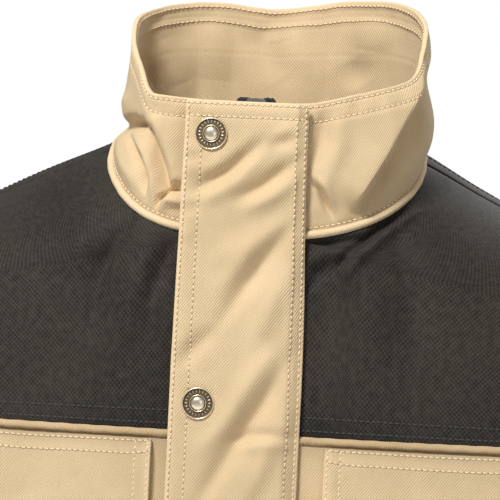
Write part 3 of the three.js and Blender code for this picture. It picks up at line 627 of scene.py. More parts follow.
def stitch_object(name, rows, mat, slot="twill", hole=None, **kw):
    V, F = stitch_rows(rows, **kw)
    k = len(F)
    # beige thread stitches get needle-hole pits painted dark as shade
    if hole is None and mat is THREAD:
        hole = PAINTED_PIT_SHADE
    if hole is not None:
        V2, F2 = needle_holes(rows, kw.get("pitch", 3.0))
        F = np.concatenate([F, F2 + len(V)])
        V = np.concatenate([V, V2])
    ob = raw_object(name, V, F)
    ob.data.materials.append(mat)
    if hole is not None:
        ob.data.materials.append(hole)
        idx = np.zeros(len(F), np.int32)
        idx[k:] = 1
        if len(ob.data.polygons) == len(F):
            ob.data.polygons.foreach_set("material_index", idx)
    return ob


def path(sheet, pts, n=400):
    """A row on a sheet through (u, v) grid values."""
    pts = np.asarray(pts, float)
    k = np.linspace(0, len(pts) - 1, n)
    u = np.interp(k, np.arange(len(pts)), pts[:, 0])
    v = np.interp(k, np.arange(len(pts)), pts[:, 1])
    return sheet.at(u, v)


# ---------------------------------------------------------------- materials
def node(nt, kind, **props):
    n = nt.nodes.new(kind)
    for k, v in props.items():
        setattr(n, k, v)
    return n


def math_node(nt, op, a, b=None, c=None):
    n = node(nt, "ShaderNodeMath", operation=op)
    for k, x in enumerate((a, b, c)):
        if x is None:
            continue
        if isinstance(x, (int, float)):
            n.inputs[k].default_value = x
        else:
            nt.links.new(x, n.inputs[k])
    return n.outputs[0]


def mix_color(nt, fac, a, b, blend="MIX"):
    n = node(nt, "ShaderNodeMix", data_type="RGBA", blend_type=blend)
    for sock, x in ((n.inputs[0], fac), (n.inputs[6], a), (n.inputs[7], b)):
        if isinstance(x, (int, float)):
            sock.default_value = x
        elif isinstance(x, (tuple, list)):
            sock.default_value = (*x, 1.0)
        else:
            nt.links.new(x, sock)
    return n.outputs[2]


def new_material(name):
    m = bpy.data.materials.new(name)
    m.use_nodes = True
    nt = m.node_tree
    nt.nodes.clear()
    out = node(nt, "ShaderNodeOutputMaterial")
    b = node(nt, "ShaderNodeBsdfPrincipled")
    nt.links.new(b.outputs[0], out.inputs[0])
    return m, nt, b


def uv_mm(nt):
    uv = node(nt, "ShaderNodeUVMap", uv_map="UVMap")
    sep = node(nt, "ShaderNodeSeparateXYZ")
    nt.links.new(uv.outputs[0], sep.inputs[0])
    return uv.outputs[0], math_node(nt, "MULTIPLY", sep.outputs[0], 100.0), math_node(nt, "MULTIPLY", sep.outputs[1], 100.0)


def noise(nt, vector, scale, detail=2.0, rough=0.5, dim="3D"):
    n = node(nt, "ShaderNodeTexNoise", noise_dimensions=dim)
    n.inputs["Scale"].default_value = scale
    n.inputs["Detail"].default_value = detail
    n.inputs["Roughness"].default_value = rough
    if vector is not None:
        nt.links.new(vector, n.inputs["Vector"])
    return n.outputs[0]


def bump(nt, height, dist_mm, strength=1.0, prev=None):
    n = node(nt, "ShaderNodeBump")
    n.inputs["Strength"].default_value = strength
    n.inputs["Distance"].default_value = dist_mm / 1000.0
    nt.links.new(height, n.inputs["Height"])
    if prev is not None:
        nt.links.new(prev, n.inputs["Normal"])
    return n.outputs[0]


def attribute(nt, name):
    return node(nt, "ShaderNodeAttribute", attribute_name=name).outputs["Fac"]


def twill_material(name, light, dark, angle=53.0, pitch=1.18, contrast=0.50):
    m, nt, b = new_material(name)
    vec_uv, u, v = uv_mm(nt)
    obj = node(nt, "ShaderNodeTexCoord").outputs["Object"]
    a = math.radians(angle)
    wob = noise(nt, vec_uv, 14.0, 2.0)
    big = noise(nt, obj, 14.0, 3.0)
    mid = noise(nt, obj, 70.0, 3.0)
    # ribs rising to the right, with yarns crossing them
    d = math_node(nt, "ADD", math_node(nt, "MULTIPLY", u, -math.sin(a)), math_node(nt, "MULTIPLY", v, math.cos(a)))
    d = math_node(nt, "ADD", math_node(nt, "MULTIPLY", d, 1 / pitch), math_node(nt, "MULTIPLY", wob, 0.35))
    rib = math_node(nt, "SINE", math_node(nt, "MULTIPLY", d, 2 * math.pi))
    e = math_node(nt, "ADD", math_node(nt, "MULTIPLY", u, math.cos(a)), math_node(nt, "MULTIPLY", v, math.sin(a)))
    yarn = math_node(nt, "SINE", math_node(nt, "ADD", math_node(nt, "MULTIPLY", e, 2 * math.pi / 0.72), math_node(nt, "MULTIPLY", d, math.pi)))
    fibre = noise(nt, vec_uv, 160.0, 3.0, 0.65)
    h = math_node(nt, "ADD", math_node(nt, "MULTIPLY", rib, 0.5), 0.5)
    h2 = math_node(nt, "ADD", h, math_node(nt, "MULTIPLY", yarn, 0.13))
    h3 = math_node(nt, "ADD", h2, math_node(nt, "MULTIPLY", fibre, 0.5))
    k = math_node(nt, "ADD", math_node(nt, "MULTIPLY", h, contrast), math_node(nt, "MULTIPLY", fibre, 0.9))
    k = math_node(nt, "ADD", k, math_node(nt, "MULTIPLY", math_node(nt, "SUBTRACT", mid, 0.5), 0.7))
    k = math_node(nt, "ADD", k, math_node(nt, "MULTIPLY", math_node(nt, "SUBTRACT", big, 0.5), 0.9))
    kc = node(nt, "ShaderNodeClamp")
    nt.links.new(math_node(nt, "SUBTRACT", k, 0.28), kc.inputs[0])
    col = mix_color(nt, kc.outputs[0], dark, light)
    # rubbed edges pale; the seams darker, partly dirt and partly painted shade
    col = mix_color(nt, math_node(nt, "MULTIPLY", attribute(nt, "wear"), 0.55), col, tuple(min(1, c * 1.16) for c in light))
    col = mix_color(nt, math_node(nt, "MULTIPLY", attribute(nt, "seam"), 0.6), col, tuple(c * 0.52 for c in dark))
    nt.links.new(col, b.inputs["Base Color"])
    nt.links.new(bump(nt, h3, 0.24, 0.66), b.inputs["Normal"])
    r = math_node(nt, "ADD", math_node(nt, "MULTIPLY", fibre, 0.14), 0.80)
    nt.links.new(r, b.inputs["Roughness"])
    b.inputs["Specular IOR Level"].default_value = 0.25
    b.inputs["Sheen Weight"].default_value = 0.12
    b.inputs["Sheen Roughness"].default_value = 0.45
    b.inputs["Sheen Tint"].default_value = (1.0, 0.93, 0.82, 1)
    return m


def oxford_material(name, light, dark, pitch=1.2):
    m, nt, b = new_material(name)
    vec_uv, u, v = uv_mm(nt)
    obj = node(nt, "ShaderNodeTexCoord").outputs["Object"]
    wob = noise(nt, vec_uv, 10.0, 2.0)
    uu = math_node(nt, "ADD", math_node(nt, "MULTIPLY", u, 2 * math.pi / pitch / 2), math_node(nt, "MULTIPLY", wob, 1.2))
    vv = math_node(nt, "ADD", math_node(nt, "MULTIPLY", v, 2 * math.pi / pitch / 2), math_node(nt, "MULTIPLY", wob, 0.9))
    chk = math_node(nt, "MULTIPLY", math_node(nt, "SINE", uu), math_node(nt, "SINE", vv))
    over = math_node(nt, "ADD", math_node(nt, "MULTIPLY", chk, 0.5), 0.5)
    warp = math_node(nt, "ABSOLUTE", math_node(nt, "SINE", uu))
    weft = math_node(nt, "ABSOLUTE", math_node(nt, "SINE", vv))
    fibre = noise(nt, vec_uv, 120.0, 3.0, 0.6)
    slub = noise(nt, vec_uv, 26.0, 2.0, 0.5)
    big = noise(nt, obj, 16.0, 3.0)
    h = math_node(nt, "ADD", math_node(nt, "MULTIPLY", over, math_node(nt, "MULTIPLY", warp, 0.6)), math_node(nt, "MULTIPLY", math_node(nt, "SUBTRACT", 1.0, over), math_node(nt, "MULTIPLY", weft, 0.6)))
    h = math_node(nt, "ADD", h, math_node(nt, "MULTIPLY", fibre, 0.35))
    k = math_node(nt, "ADD", math_node(nt, "MULTIPLY", over, 0.70), math_node(nt, "MULTIPLY", fibre, 0.60))
    k = math_node(nt, "ADD", k, math_node(nt, "MULTIPLY", math_node(nt, "SUBTRACT", slub, 0.5), 0.8))
    k = math_node(nt, "ADD", k, math_node(nt, "MULTIPLY", math_node(nt, "SUBTRACT", big, 0.5), 0.6))
    kc = node(nt, "ShaderNodeClamp")
    nt.links.new(math_node(nt, "SUBTRACT", k, 0.22), kc.inputs[0])
    col = mix_color(nt, kc.outputs[0], dark, light)
    # rubbed edges pale; the seams darker, partly dirt and partly painted shade
    col = mix_color(nt, math_node(nt, "MULTIPLY", attribute(nt, "wear"), 0.4), col, tuple(min(1, c * 1.5) for c in light))
    col = mix_color(nt, math_node(nt, "MULTIPLY", attribute(nt, "seam"), 0.55), col, tuple(c * 0.5 for c in dark))
    nt.links.new(col, b.inputs["Base Color"])
    nt.links.new(bump(nt, h, 0.24, 0.8), b.inputs["Normal"])
    nt.links.new(math_node(nt, "ADD", math_node(nt, "MULTIPLY", fibre, 0.2), 0.62), b.inputs["Roughness"])
    b.inputs["Specular IOR Level"].default_value = 0.22
    b.inputs["Sheen Weight"].default_value = 0.03
    b.inputs["Sheen Roughness"].default_value = 0.5
    return m


def thread_material(name, color):
    m, nt, b = new_material(name)
    obj = node(nt, "ShaderNodeTexCoord").outputs["Object"]
    f = noise(nt, obj, 900.0, 2.0)
    f2 = noise(nt, obj, 60.0, 2.0)
    col = mix_color(nt, f, tuple(c * 0.78 for c in color), tuple(min(1, c * 1.15) for c in color))
    col = mix_color(nt, math_node(nt, "MULTIPLY", f2, 0.3), col, tuple(c * 0.8 for c in color))
    nt.links.new(col, b.inputs["Base Color"])
    nt.links.new(bump(nt, noise(nt, obj, 1600.0, 2.0), 0.12, 0.6), b.inputs["Normal"])
    nt.links.new(math_node(nt, "ADD", math_node(nt, "MULTIPLY", f, 0.2), 0.5), b.inputs["Roughness"])
    b.inputs["Sheen Weight"].default_value = 0.1
    return m


def metal_material(name, bright, dark, rough=(0.22, 0.55), scale=1.0):
    """Antique plating: 'wear' is rubbed bright, 'seam' holds the dark patina."""
    m, nt, b = new_material(name)
    obj = node(nt, "ShaderNodeTexCoord").outputs["Object"]
    cloud = noise(nt, obj, 260.0 * scale, 4.0, 0.6)
    fine = noise(nt, obj, 1500.0 * scale, 3.0, 0.6)
    k = math_node(nt, "ADD", attribute(nt, "wear"), math_node(nt, "MULTIPLY", math_node(nt, "SUBTRACT", cloud, 0.5), 0.9))
    k = math_node(nt, "SUBTRACT", k, math_node(nt, "MULTIPLY", attribute(nt, "seam"), 0.8))
    kc = node(nt, "ShaderNodeClamp")
    nt.links.new(math_node(nt, "ADD", k, 0.35), kc.inputs[0])
    col = mix_color(nt, kc.outputs[0], dark, bright)
    nt.links.new(col, b.inputs["Base Color"])
    b.inputs["Metallic"].default_value = 1.0
    r = math_node(nt, "ADD", math_node(nt, "MULTIPLY", math_node(nt, "SUBTRACT", 1.0, kc.outputs[0]), rough[1] - rough[0]), rough[0])
    r = math_node(nt, "ADD", r, math_node(nt, "MULTIPLY", math_node(nt, "SUBTRACT", fine, 0.5), 0.12))
    nt.links.new(r, b.inputs["Roughness"])
    nt.links.new(bump(nt, fine, 0.035, 0.5), b.inputs["Normal"])
    return m


def plastic_material(name, color, rough=0.45):
    m, nt, b = new_material(name)
    obj = node(nt, "ShaderNodeTexCoord").outputs["Object"]
    f = noise(nt, obj, 500.0, 3.0)
    col = mix_color(nt, f, tuple(c * 0.75 for c in color), tuple(c * 1.25 for c in color))
    nt.links.new(col, b.inputs["Base Color"])
    nt.links.new(math_node(nt, "ADD", math_node(nt, "MULTIPLY", f, 0.2), rough), b.inputs["Roughness"])
    nt.links.new(bump(nt, noise(nt, obj, 2200.0, 2.0), 0.02, 0.5), b.inputs["Normal"])
    return m


TWILL = twill_material("twill", (0.765, 0.582, 0.358), (0.575, 0.425, 0.242))
TWILL_IN = twill_material("twill_facing", (0.77, 0.57, 0.33), (0.58, 0.42, 0.225), angle=50)
# a lighter copy of the twill for the rolled neck rim: a painted highlight
TWILL_RIM_HIGHLIGHT = twill_material("twill_rim_painted_highlight", (0.80, 0.62, 0.39), (0.68, 0.515, 0.315), angle=70)
TWILL_PIPE = twill_material("twill_bias", (0.62, 0.45, 0.26), (0.44, 0.31, 0.165), angle=80, pitch=1.1)
OXFORD = oxford_material("oxford", (0.060, 0.050, 0.039), (0.006, 0.005, 0.004))
THREAD = thread_material("thread_beige", (0.84, 0.66, 0.43))
# needle holes: a dark brown painted in as the shade in the thread pits
PAINTED_PIT_SHADE = thread_material("needle_hole_painted_shade", (0.40, 0.28, 0.155))
THREAD_DK = thread_material("thread_black", (0.040, 0.036, 0.032))
BRASS = metal_material("antique_brass", (0.98, 0.87, 0.66), (0.17, 0.125, 0.075), rough=(0.32, 0.6))
GUN = metal_material("gunmetal", (0.50, 0.51, 0.50), (0.07, 0.07, 0.068), rough=(0.3, 0.6))
TAPE = oxford_material("zip_tape", (0.040, 0.040, 0.042), (0.014, 0.014, 0.016), pitch=0.8)
COIL = plastic_material("zip_coil", (0.06, 0.06, 0.065))

# ---------------------------------------------------------------- torso panels and yokes
PANEL_TOP = PIPE_Z - 1.0


def rows_z(z0, z1, step):
    return np.linspace(z0, z1, int(round((z1 - z0) / step)) + 1)


def mirror(P):
    return P * np.array([-1.0, 1.0, 1.0])


def torso_sheet(side, back, s_values, v_values, dense=True):
    """side +1 is the wearer's left, -1 the right; the back is made with side 0."""
    if side == 0:
        s = s_values
        P = body_point(np.abs(s)[None, :], v_values[:, None], back)
        P = P * np.where(s < 0, -1.0, 1.0)[None, :, None] ** np.array([1, 0, 0])
        sh = Sheet(s, v_values, P, flip=True)
    else:
        P = body_point(s_values[None, :], v_values[:, None], back)
        if side < 0:
            P = mirror(P)
        sh = Sheet(s_values, v_values, P, flip=(side < 0) != back)
    return sh


def edge_attrs(sh, wear_w=3.0, u_edges=(True, True), v_edges=(True, True), seam_u=(False, False), seam_v=(False, False), seam_w=5.0):
    U, V = sh.uv_grid()
    w = np.zeros(sh.P.shape[:2])
    s = np.zeros(sh.P.shape[:2])
    du = (U - U[:, :1], U[:, -1:] - U)
    dv = (V - V[:1], V[-1:] - V)
    for on, d in zip(u_edges, du):
        if on:
            w = np.maximum(w, np.exp(-((d / wear_w) ** 2)))
    for on, d in zip(v_edges, dv):
        if on:
            w = np.maximum(w, np.exp(-((d / wear_w) ** 2)))
    # the seam mask: dirt and painted shade darkening the cloth next to its sewn edges
    for on, d in zip(seam_u, du):
        if on:
            s = np.maximum(s, np.exp(-d / seam_w))
    for on, d in zip(seam_v, dv):
        if on:
            s = np.maximum(s, np.exp(-d / seam_w))
    return {"wear": w, "seam": s}


YOKE_FOLDS = [
    ([(412, 205), (380, 228), (352, 250), (330, 278)], -2.2, 3.6),
    ([(418, 212), (386, 236), (358, 258), (336, 288)], 1.5, 5),
    ([(306, 240), (332, 244), (364, 236)], -1.5, 4.5),
    ([(310, 262), (326, 254), (344, 252)], 1.0, 7),
    ([(304, 292), (320, 272), (332, 262)], -0.9, 6),
    ([(176, 236), (162, 262), (150, 300)], -1.0, 8),
    ([(128, 212), (112, 240), (98, 280)], -1.2, 8),
    ([(345, 245), (372, 300), (380, 350)], 1.6, 15),
    ([(395, 240), (412, 300), (415, 360)], -1.3, 14),
    ([(320, 250), (325, 300), (322, 370)], -0.9, 12),
    ([(150, 235), (135, 290), (120, 350)], 1.4, 14),
    ([(118, 215), (100, 262), (90, 330)], -1.2, 13),
    ([(90, 185), (80, 225), (74, 270)], 1.0, 12),
]

pieces = {}


def keep(ob, body, *nodes, node_list=None):
    if nodes:
        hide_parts(*nodes)
    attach(ob, body)
    pieces[ob.name] = ob
    return ob


def hugging(h):
    return h


panel_v = v_of_z(rows_z(BAND_H - 0.6, PANEL_TOP, 5.0))
front_s = even_s(62, False)
back_s1 = even_s(58, True)
back_s = np.concatenate([-back_s1[::-1][:-1], back_s1])

fronts, yokes = {}, {}
for side, tag in ((1, "left"), (-1, "right")):
    sh = torso_sheet(side, False, front_s, panel_v)
    U = sh.uv_grid()[0]
    # folds die out at the side seam, where front and back share one curve
    sh.push(body_folds(sh.P, False) * smooth(U[:, -1:] - U, 0, 24))
    fronts[side] = sh
    ob = sh.build("panel_front_" + tag, 2.4, TWILL, attrs=edge_attrs(sh, seam_v=(True, True), u_edges=(True, False), v_edges=(False, False), seam_u=(False, True)))
    keep(ob, "jacket_body", "front_panel_" + tag)
    declare(ob, sh)

sh = torso_sheet(0, True, back_s, panel_v)
U = sh.uv_grid()[0]
sh.push(body_folds(sh.P, True) * smooth(np.minimum(U - U[:, :1], U[:, -1:] - U), 0, 24))
back_panel = sh
ob = sh.build("panel_back", 2.4, TWILL, attrs=edge_attrs(sh, u_edges=(False, False), v_edges=(False, False), seam_v=(True, True), seam_u=(True, True)))
keep(ob, "jacket_body", "back_panel")
declare(ob, sh)

yoke_v_f = np.concatenate([np.linspace(V_YOKE, V_NF, 53)[:-1], np.linspace(V_NF, 0.9999, 50)])
yoke_v_b = np.concatenate([np.linspace(V_YOKE, V_NB, 34)[:-1], np.linspace(V_NB, 0.9999, 26)])
yoke_s = even_s(94, False, z=YOKE_Z - 1)
for side, tag in ((1, "left"), (-1, "right")):
    sh = torso_sheet(side, False, yoke_s, yoke_v_f)
    # the surface is read a little aside of the centre line, where rows and neck seam run together
    h = body_folds(sh.P, False)
    cx, cy = chart(sh.P)
    rn = np.hypot(sh.P[..., 0] / 90.0, (sh.P[..., 1] + 18) / 74.0)
    h = h + 2.7 * strokes(cx, cy, YOKE_FOLDS) * smooth(sh.P[..., 2], PIPE_Z + 4, PIPE_Z + 30)
    N = sh.N.copy()
    bad = (sh.us < 0.1)[None, :] & (sh.vs > V_NF - 0.03)[:, None]
    ref = N[:, np.searchsorted(sh.us, 0.1)][:, None]
    N = np.where(bad[..., None], ref, N)
    sh.P = neck_lean(sh.P + N * h[..., None])
    sh.refresh()
    yokes[side] = sh
    ob = sh.build("yoke_front_" + tag, 2.2, OXFORD, slot="oxford", attrs=edge_attrs(sh, u_edges=(False, False), v_edges=(False, False), seam_v=(True, False), seam_u=(False, True), seam_w=4))
    keep(ob, "jacket_body", "front_yoke_" + tag)
    declare(ob, sh)

# The back yoke: two halves drawn out from the centre back, joined along it.
half = []
for side in (1, -1):
    s = even_s(64, True, z=YOKE_Z - 1)
    sh = torso_sheet(side, True, s, yoke_v_b)
    h = body_folds(sh.P, True) * smooth(np.abs(sh.P[..., 0]), 0, 30)
    N = sh.N.copy()
    bad = (sh.us < 0.14)[None, :] & (sh.vs > V_NB - 0.05)[:, None]
    ref = N[:, np.searchsorted(sh.us, 0.14)][:, None]
    N = np.where(bad[..., None], ref, N)
    N[:, 0, 0] = 0
    sh.P = neck_lean(sh.P + N * h[..., None])
    sh.P[sh.vs <= V_NB, 0, 0] = 0
    sh.refresh()
    half.append(sh)


def joined_back_yoke():
    import bmesh
    obs = []
    for sh, side in zip(half, (1, -1)):
        nv, nu = sh.P.shape[:2]
        U, V = sh.uv_grid()
        U = (U - U[:, :1]) * side
        j, i = np.meshgrid(np.arange(nv - 1), np.arange(nu - 1), indexing="ij")
        F = np.stack([j * nu + i, j * nu + i + 1, (j + 1) * nu + i + 1, (j + 1) * nu + i], -1).reshape(-1, 4)
        cu = np.stack([U[:-1, :-1], U[:-1, 1:], U[1:, 1:], U[1:, :-1]], -1).reshape(-1, 4)
        cv = np.stack([V[:-1, :-1], V[:-1, 1:], V[1:, 1:], V[1:, :-1]], -1).reshape(-1, 4)
        uvs = np.stack([cu, cv], -1) * 0.01
        if sh.flip:
            F, uvs = F[:, ::-1], uvs[:, ::-1]
        at = edge_attrs(sh, u_edges=(False, False), v_edges=(False, False), seam_v=(True, False), seam_u=(False, True), seam_w=4)
        obs.append(raw_object("yoke_half", sh.P, F, uvs.reshape(-1, 2), at))
    bm = bmesh.new()
    for o in obs:
        bm.from_mesh(o.data)
    bmesh.ops.remove_doubles(bm, verts=bm.verts, dist=2e-6)
    me = bpy.data.meshes.new("yoke_back")
    bm.to_mesh(me)
    bm.free()
    for o in obs:
        bpy.data.objects.remove(o, do_unlink=True)
    ob = bpy.data.objects.new("yoke_back", me)
    bpy.context.collection.objects.link(ob)
    m = ob.modifiers.new("thick", "SOLIDIFY")
    m.thickness, m.offset, m.use_even_offset = 0.0022, -1.0, False
    m = ob.modifiers.new("round", "SUBSURF")
    m.levels = m.render_levels = 1
    settle(ob)
    ob.data.polygons.foreach_set("use_smooth", [True] * len(ob.data.polygons))
    ob.data.materials.clear()
    ob.data.materials.append(OXFORD)
    return ob


declare(keep(joined_back_yoke(), "jacket_body", "back_yoke"), *half)

# ---------------------------------------------------------------- piping in the yoke seams
for side, tag in ((1, "left"), (-1, "right")):
    sh, yk = fronts[side], yokes[side]
    s = np.linspace(0.0, 1.0, 150) ** 0.8
    s = np.interp(np.linspace(0, 1, 170), np.linspace(0, 1, len(front_s)), front_s)
    a, na = sh.at(s, np.full(len(s), panel_v[-1]))
    b, nb = yk.at(s, np.full(len(s), yoke_v_f[0]))
    n = na + nb
    n /= np.linalg.norm(n, axis=1, keepdims=True)
    c = (a + b) / 2 - n * 0.65
    c[:, 2] += 0.10 * np.sin(np.arange(len(c)) * 0.9)
    ob = tube_object("piping_" + tag, c[1:-2], 2.15, TWILL_PIPE, sides=14)
    keep(ob, "jacket_body", "piping_front_" + tag)
s = np.interp(np.linspace(0, 1, 300), np.linspace(0, 1, len(back_s)), back_s)
a, na = back_panel.at(s, np.full(len(s), panel_v[-1]))
c = a - na * 0.65 + np.array([0, 0, 1.0])
keep(tube_object("piping_rear", c[2:-2], 2.15, TWILL_PIPE, sides=14), "jacket_body", "piping_back")

# ---------------------------------------------------------------- waistband
band_rows = []
band_z = lines_with(rows_z(0.6, BAND_H - 0.2, 4.5), [5.0, BAND_H - 6.0], 1.6)
for side, tag in ((1, "left"), (-1, "right"), (0, "back")):
    s = front_s if side else back_s
    sh = torso_sheet(side, side == 0, s, v_of_z(band_z))
    ang = np.arctan2(sh.P[..., 0], -(sh.P[..., 1] - 10)) * 140
    h = 1.0 + 1.0 * field(41, ang, sh.P[..., 2], 30, 60) + 0.9 * creases(42, ang + sh.P[..., 2] * 0.4, sh.P[..., 2], 9, 30) * np.sin(np.pi * np.clip(sh.P[..., 2] / BAND_H, 0, 1))
    z = sh.P[..., 2]
    h = h - 0.35 * np.exp(-(((z - 5) / 1.2) ** 2)) - 0.35 * np.exp(-(((z - BAND_H + 6) / 1.2) ** 2))
    h = h * (1 - smooth(z, BAND_H - 5.5, BAND_H - 0.2)) + 0.15
    if side:
        h = h * smooth(np.abs(sh.P[..., 0]), 14, 40) - 0.5 * (1 - smooth(np.abs(sh.P[..., 0]), 8, 24))
    sh.push(h)
    ob = sh.build("waistband_" + (tag if side == 0 else "front_" + tag) + "_cloth", 3.2, TWILL, attrs=edge_attrs(sh, u_edges=(bool(side), False), v_edges=(True, True)))
    keep(ob, "jacket_body", "waistband_" + (tag if side == 0 else "front_" + tag))
    declare(ob, sh)
    for zz in (5.0, BAND_H - 6.0):
        band_rows.append(path(sh, [(s[0] + 1e-3, float(v_of_z(zz))), (s[-1] - 1e-4, float(v_of_z(zz)))], 700))

# ---------------------------------------------------------------- stand collar
COLLAR_FOLDS = [
    # wearer's right, on the viewer's left
    ([(128, 136), (137, 154), (143, 172), (145, 192)], -3.6, 3.6),
    ([(130, 120), (147, 131), (154, 150), (161, 168), (166, 186), (186, 186)], -4.8, 5.6),
    ([(133, 130), (146, 154), (153, 178), (152, 202)], 1.8, 5),
    ([(118, 142), (124, 166), (134, 192)], 2.2, 9),
    ([(150, 112), (168, 140), (176, 170)], 1.6, 12),
    ([(154, 210), (160, 198), (168, 191.5), (176, 190.5), (188, 195)], -4.2, 2.8),
    ([(160, 214), (168, 200), (188, 204)], 3.0, 6),
    ([(108, 124), (122, 126), (140, 121)], -5.0, 8),
    ([(104, 98), (124, 100)], 3.0, 12),
    ([(150, 101), (158, 120)], -0.8, 5),
    # wearer's left
    ([(438, 60), (421, 104), (391, 162), (358, 212)], -5.2, 9.5),
    ([(452, 90), (430, 130), (408, 168)], 1.5, 12),
    ([(338, 228), (348, 226), (356, 220), (352, 210)], -2.2, 3),
    ([(352, 210), (357, 220)], 1.0, 4),
    ([(325, 110), (321, 140), (311, 168)], -2.2, 9),
    ([(340, 112), (338, 146), (326, 176), (322, 190)], 1.8, 10),
    ([(309, 178), (319, 190), (327, 207), (335, 221), (344, 226)], -3.4, 2.6),
    ([(315, 176), (326, 190), (335, 208)], 2.0, 5),
    ([(306, 206), (320, 218)], 0.8, 7),
    ([(366, 84), (352, 112)], -0.9, 7),
]
INSIDE_FOLDS = [
    ([(268, 22), (262, 44), (284, 78)], -2.6, 18),
    ([(310, 22), (296, 46), (300, 70)], 1.2, 14),
    ([(352, 60), (366, 86)], -2.0, 16),
    ([(380, 20), (376, 50)], 1.6, 20),
    ([(143, 62), (152, 92)], -3.6, 6),
    ([(160, 40), (176, 84)], 1.8, 16),
    ([(220, 24), (214, 80)], 1.6, 26),
]


# The worn top edge, the same curve as the solid collar's: the right side leans in and turns a corner
# at the front, the left side stands out and higher.
EDGE_RIGHT = np.array([
    [-10.1, -83.9, 735.1], [-21, -83.4, 735.3], [-33, -82.3, 735.7], [-46.5, -82, 735.7], [-55.8, -78.5, 736.8], [-62.3, -66, 747.5], [-68.3, -48, 758.9], [-73, -28, 768],
    [-74.5, -8, 775.4], [-72.7, 14, 779.9], [-65.3, 30, 783.4], [-55.3, 40, 785.6], [-41.9, 47, 787.2], [-26.9, 51, 787.4], [-9.8, 53, 786.2], [0, 53.2, 786.2],
])
EDGE_LEFT = np.array([
    [10.1, -83.9, 735.1], [21, -83.4, 735.3], [32, -82.3, 736.1], [47.8, -78.5, 740.1], [62.7, -71.5, 744.3], [74.6, -62, 748.9], [81.3, -50, 756.4], [84.3, -36, 766.6],
    [84.8, -20, 777.5], [80.5, -4, 785.2], [73.6, 10, 789.7], [64.5, 22, 791.9], [50.8, 34, 791.4], [37.7, 43, 790.3], [24.5, 49, 788.3], [9.5, 53, 786.7], [0, 53.2, 786.2],
])
PHI0 = math.radians(3.6)


def shares(P):
    a = np.concatenate([[0], np.cumsum(np.linalg.norm(np.diff(P, axis=0), axis=1))])
    return a / a[-1]


NECK_PHI = np.linspace(PHI0, math.pi, 181)
NECK_SHARE = shares(ring(NECK, NECK_PHI))


def collar_edge(phi, right):
    f = np.interp(phi, NECK_PHI, NECK_SHARE)

    def along(pts):
        k = shares(pts)
        return np.stack([table(list(zip(k, pts[:, j])), f) for j in range(3)], -1)

    return np.where(right[:, None], along(EDGE_RIGHT), along(EDGE_LEFT))


def collar_grid(n_round, ws, grow=0.0):
    t = np.linspace(0, 1, 3000)
    along = PHI0 + t * (2 * math.pi - 2 * PHI0)
    phi = np.where(along <= math.pi, along, 2 * math.pi - along)
    p = ring(NECK, phi)
    p[:, 0] *= np.where(along <= math.pi, -1, 1)
    arc = np.concatenate([[0], np.cumsum(np.linalg.norm(np.diff(p, axis=0), axis=1))])
    u = np.interp(np.linspace(0, arc[-1], n_round), arc, t)
    along = PHI0 + u * (2 * math.pi - 2 * PHI0)
    phi = np.where(along <= math.pi, along, 2 * math.pi - along)
    sx = np.where(along <= math.pi, -1.0, 1.0)
    p0, p1 = ring(NECK, phi), collar_edge(phi, sx < 0)
    p0[:, 2] += 0.4
    p0[:, 0] *= sx
    p0 = neck_lean(p0)
    side = np.sin(phi) ** 2
    w = ws[:, None, None]
    P = p0[None] * (1 - w) + p1[None] * w
    P[..., 0] += (np.where(sx > 0, 3.5, 1.5) * side)[None] * np.sin(math.pi * ws)[:, None]
    return u, P, phi, sx


COLLAR_H = 68.0
collar_w = lines_with(np.linspace(0, 1, 72), [1 - 2.2 / COLLAR_H, 1 - 10.0 / COLLAR_H, 3.2 / COLLAR_H], 0.45 / COLLAR_H)
collar_u, P, c_phi, c_sx = collar_grid(590, collar_w)
collar = Sheet(collar_u, collar_w, P, flip=True)
front_face = (collar.N[..., 1] < 0.15) | (np.abs(collar.P[..., 0]) > 70)
cx, cy = chart(collar.P)
arc_mm = collar.uv_grid()[0]
h = strokes(cx, cy, COLLAR_FOLDS) * (collar.P[..., 1] < 0) * smooth(-collar.P[..., 1], -10, 10)
h += ledge(cx, cy, [(424, 56), (410, 92), (380, 154), (346, 214)], 7.4, 30, 6.5) * (collar.P[..., 1] < 0)
h *= np.where(collar.P[..., 0] < 0, 1.35, 1.15)
h += 0.9 * field(51, arc_mm, collar.P[..., 2], 30, 40) + 0.35 * field(52, arc_mm, collar.P[..., 2], 9, 12)
rear = smooth(collar.P[..., 1], -10, 40)
h += rear * (1.4 * creases(53, arc_mm, collar.P[..., 2], 16, 60)) * np.sin(np.pi * np.clip(collar_w * 0.8 + 0.15, 0, 1))[:, None]
near = rear > 0.2
ins = -strokes(cx, cy, INSIDE_FOLDS) * (collar.P[..., 1] > -5) * (collar.N[..., 1] > 0)
h += ins
w2 = collar_w[:, None]
dist_top = (1 - w2) * COLLAR_H
dist_bot = w2 * COLLAR_H
h *= smooth(dist_bot, 0, 16) * (0.55 + 0.45 * smooth(dist_top, 0, 14))
# hem of the collar: sewn flat between its two rows, puckered along them
puck = field(54, arc_mm, dist_top + 0 * arc_mm, 3.2, 9)
h += 0.28 * puck * np.exp(-(((dist_top - 6) / 5) ** 2)) + 0.25 * puck * np.exp(-(((dist_bot - 4) / 4) ** 2))
for dd, amp in ((2.2, 0.45), (10.0, 0.5)):
    h -= amp * np.exp(-(((dist_top - dd) / 1.1) ** 2))
h -= 0.45 * np.exp(-(((dist_bot - 3.2) / 1.1) ** 2))
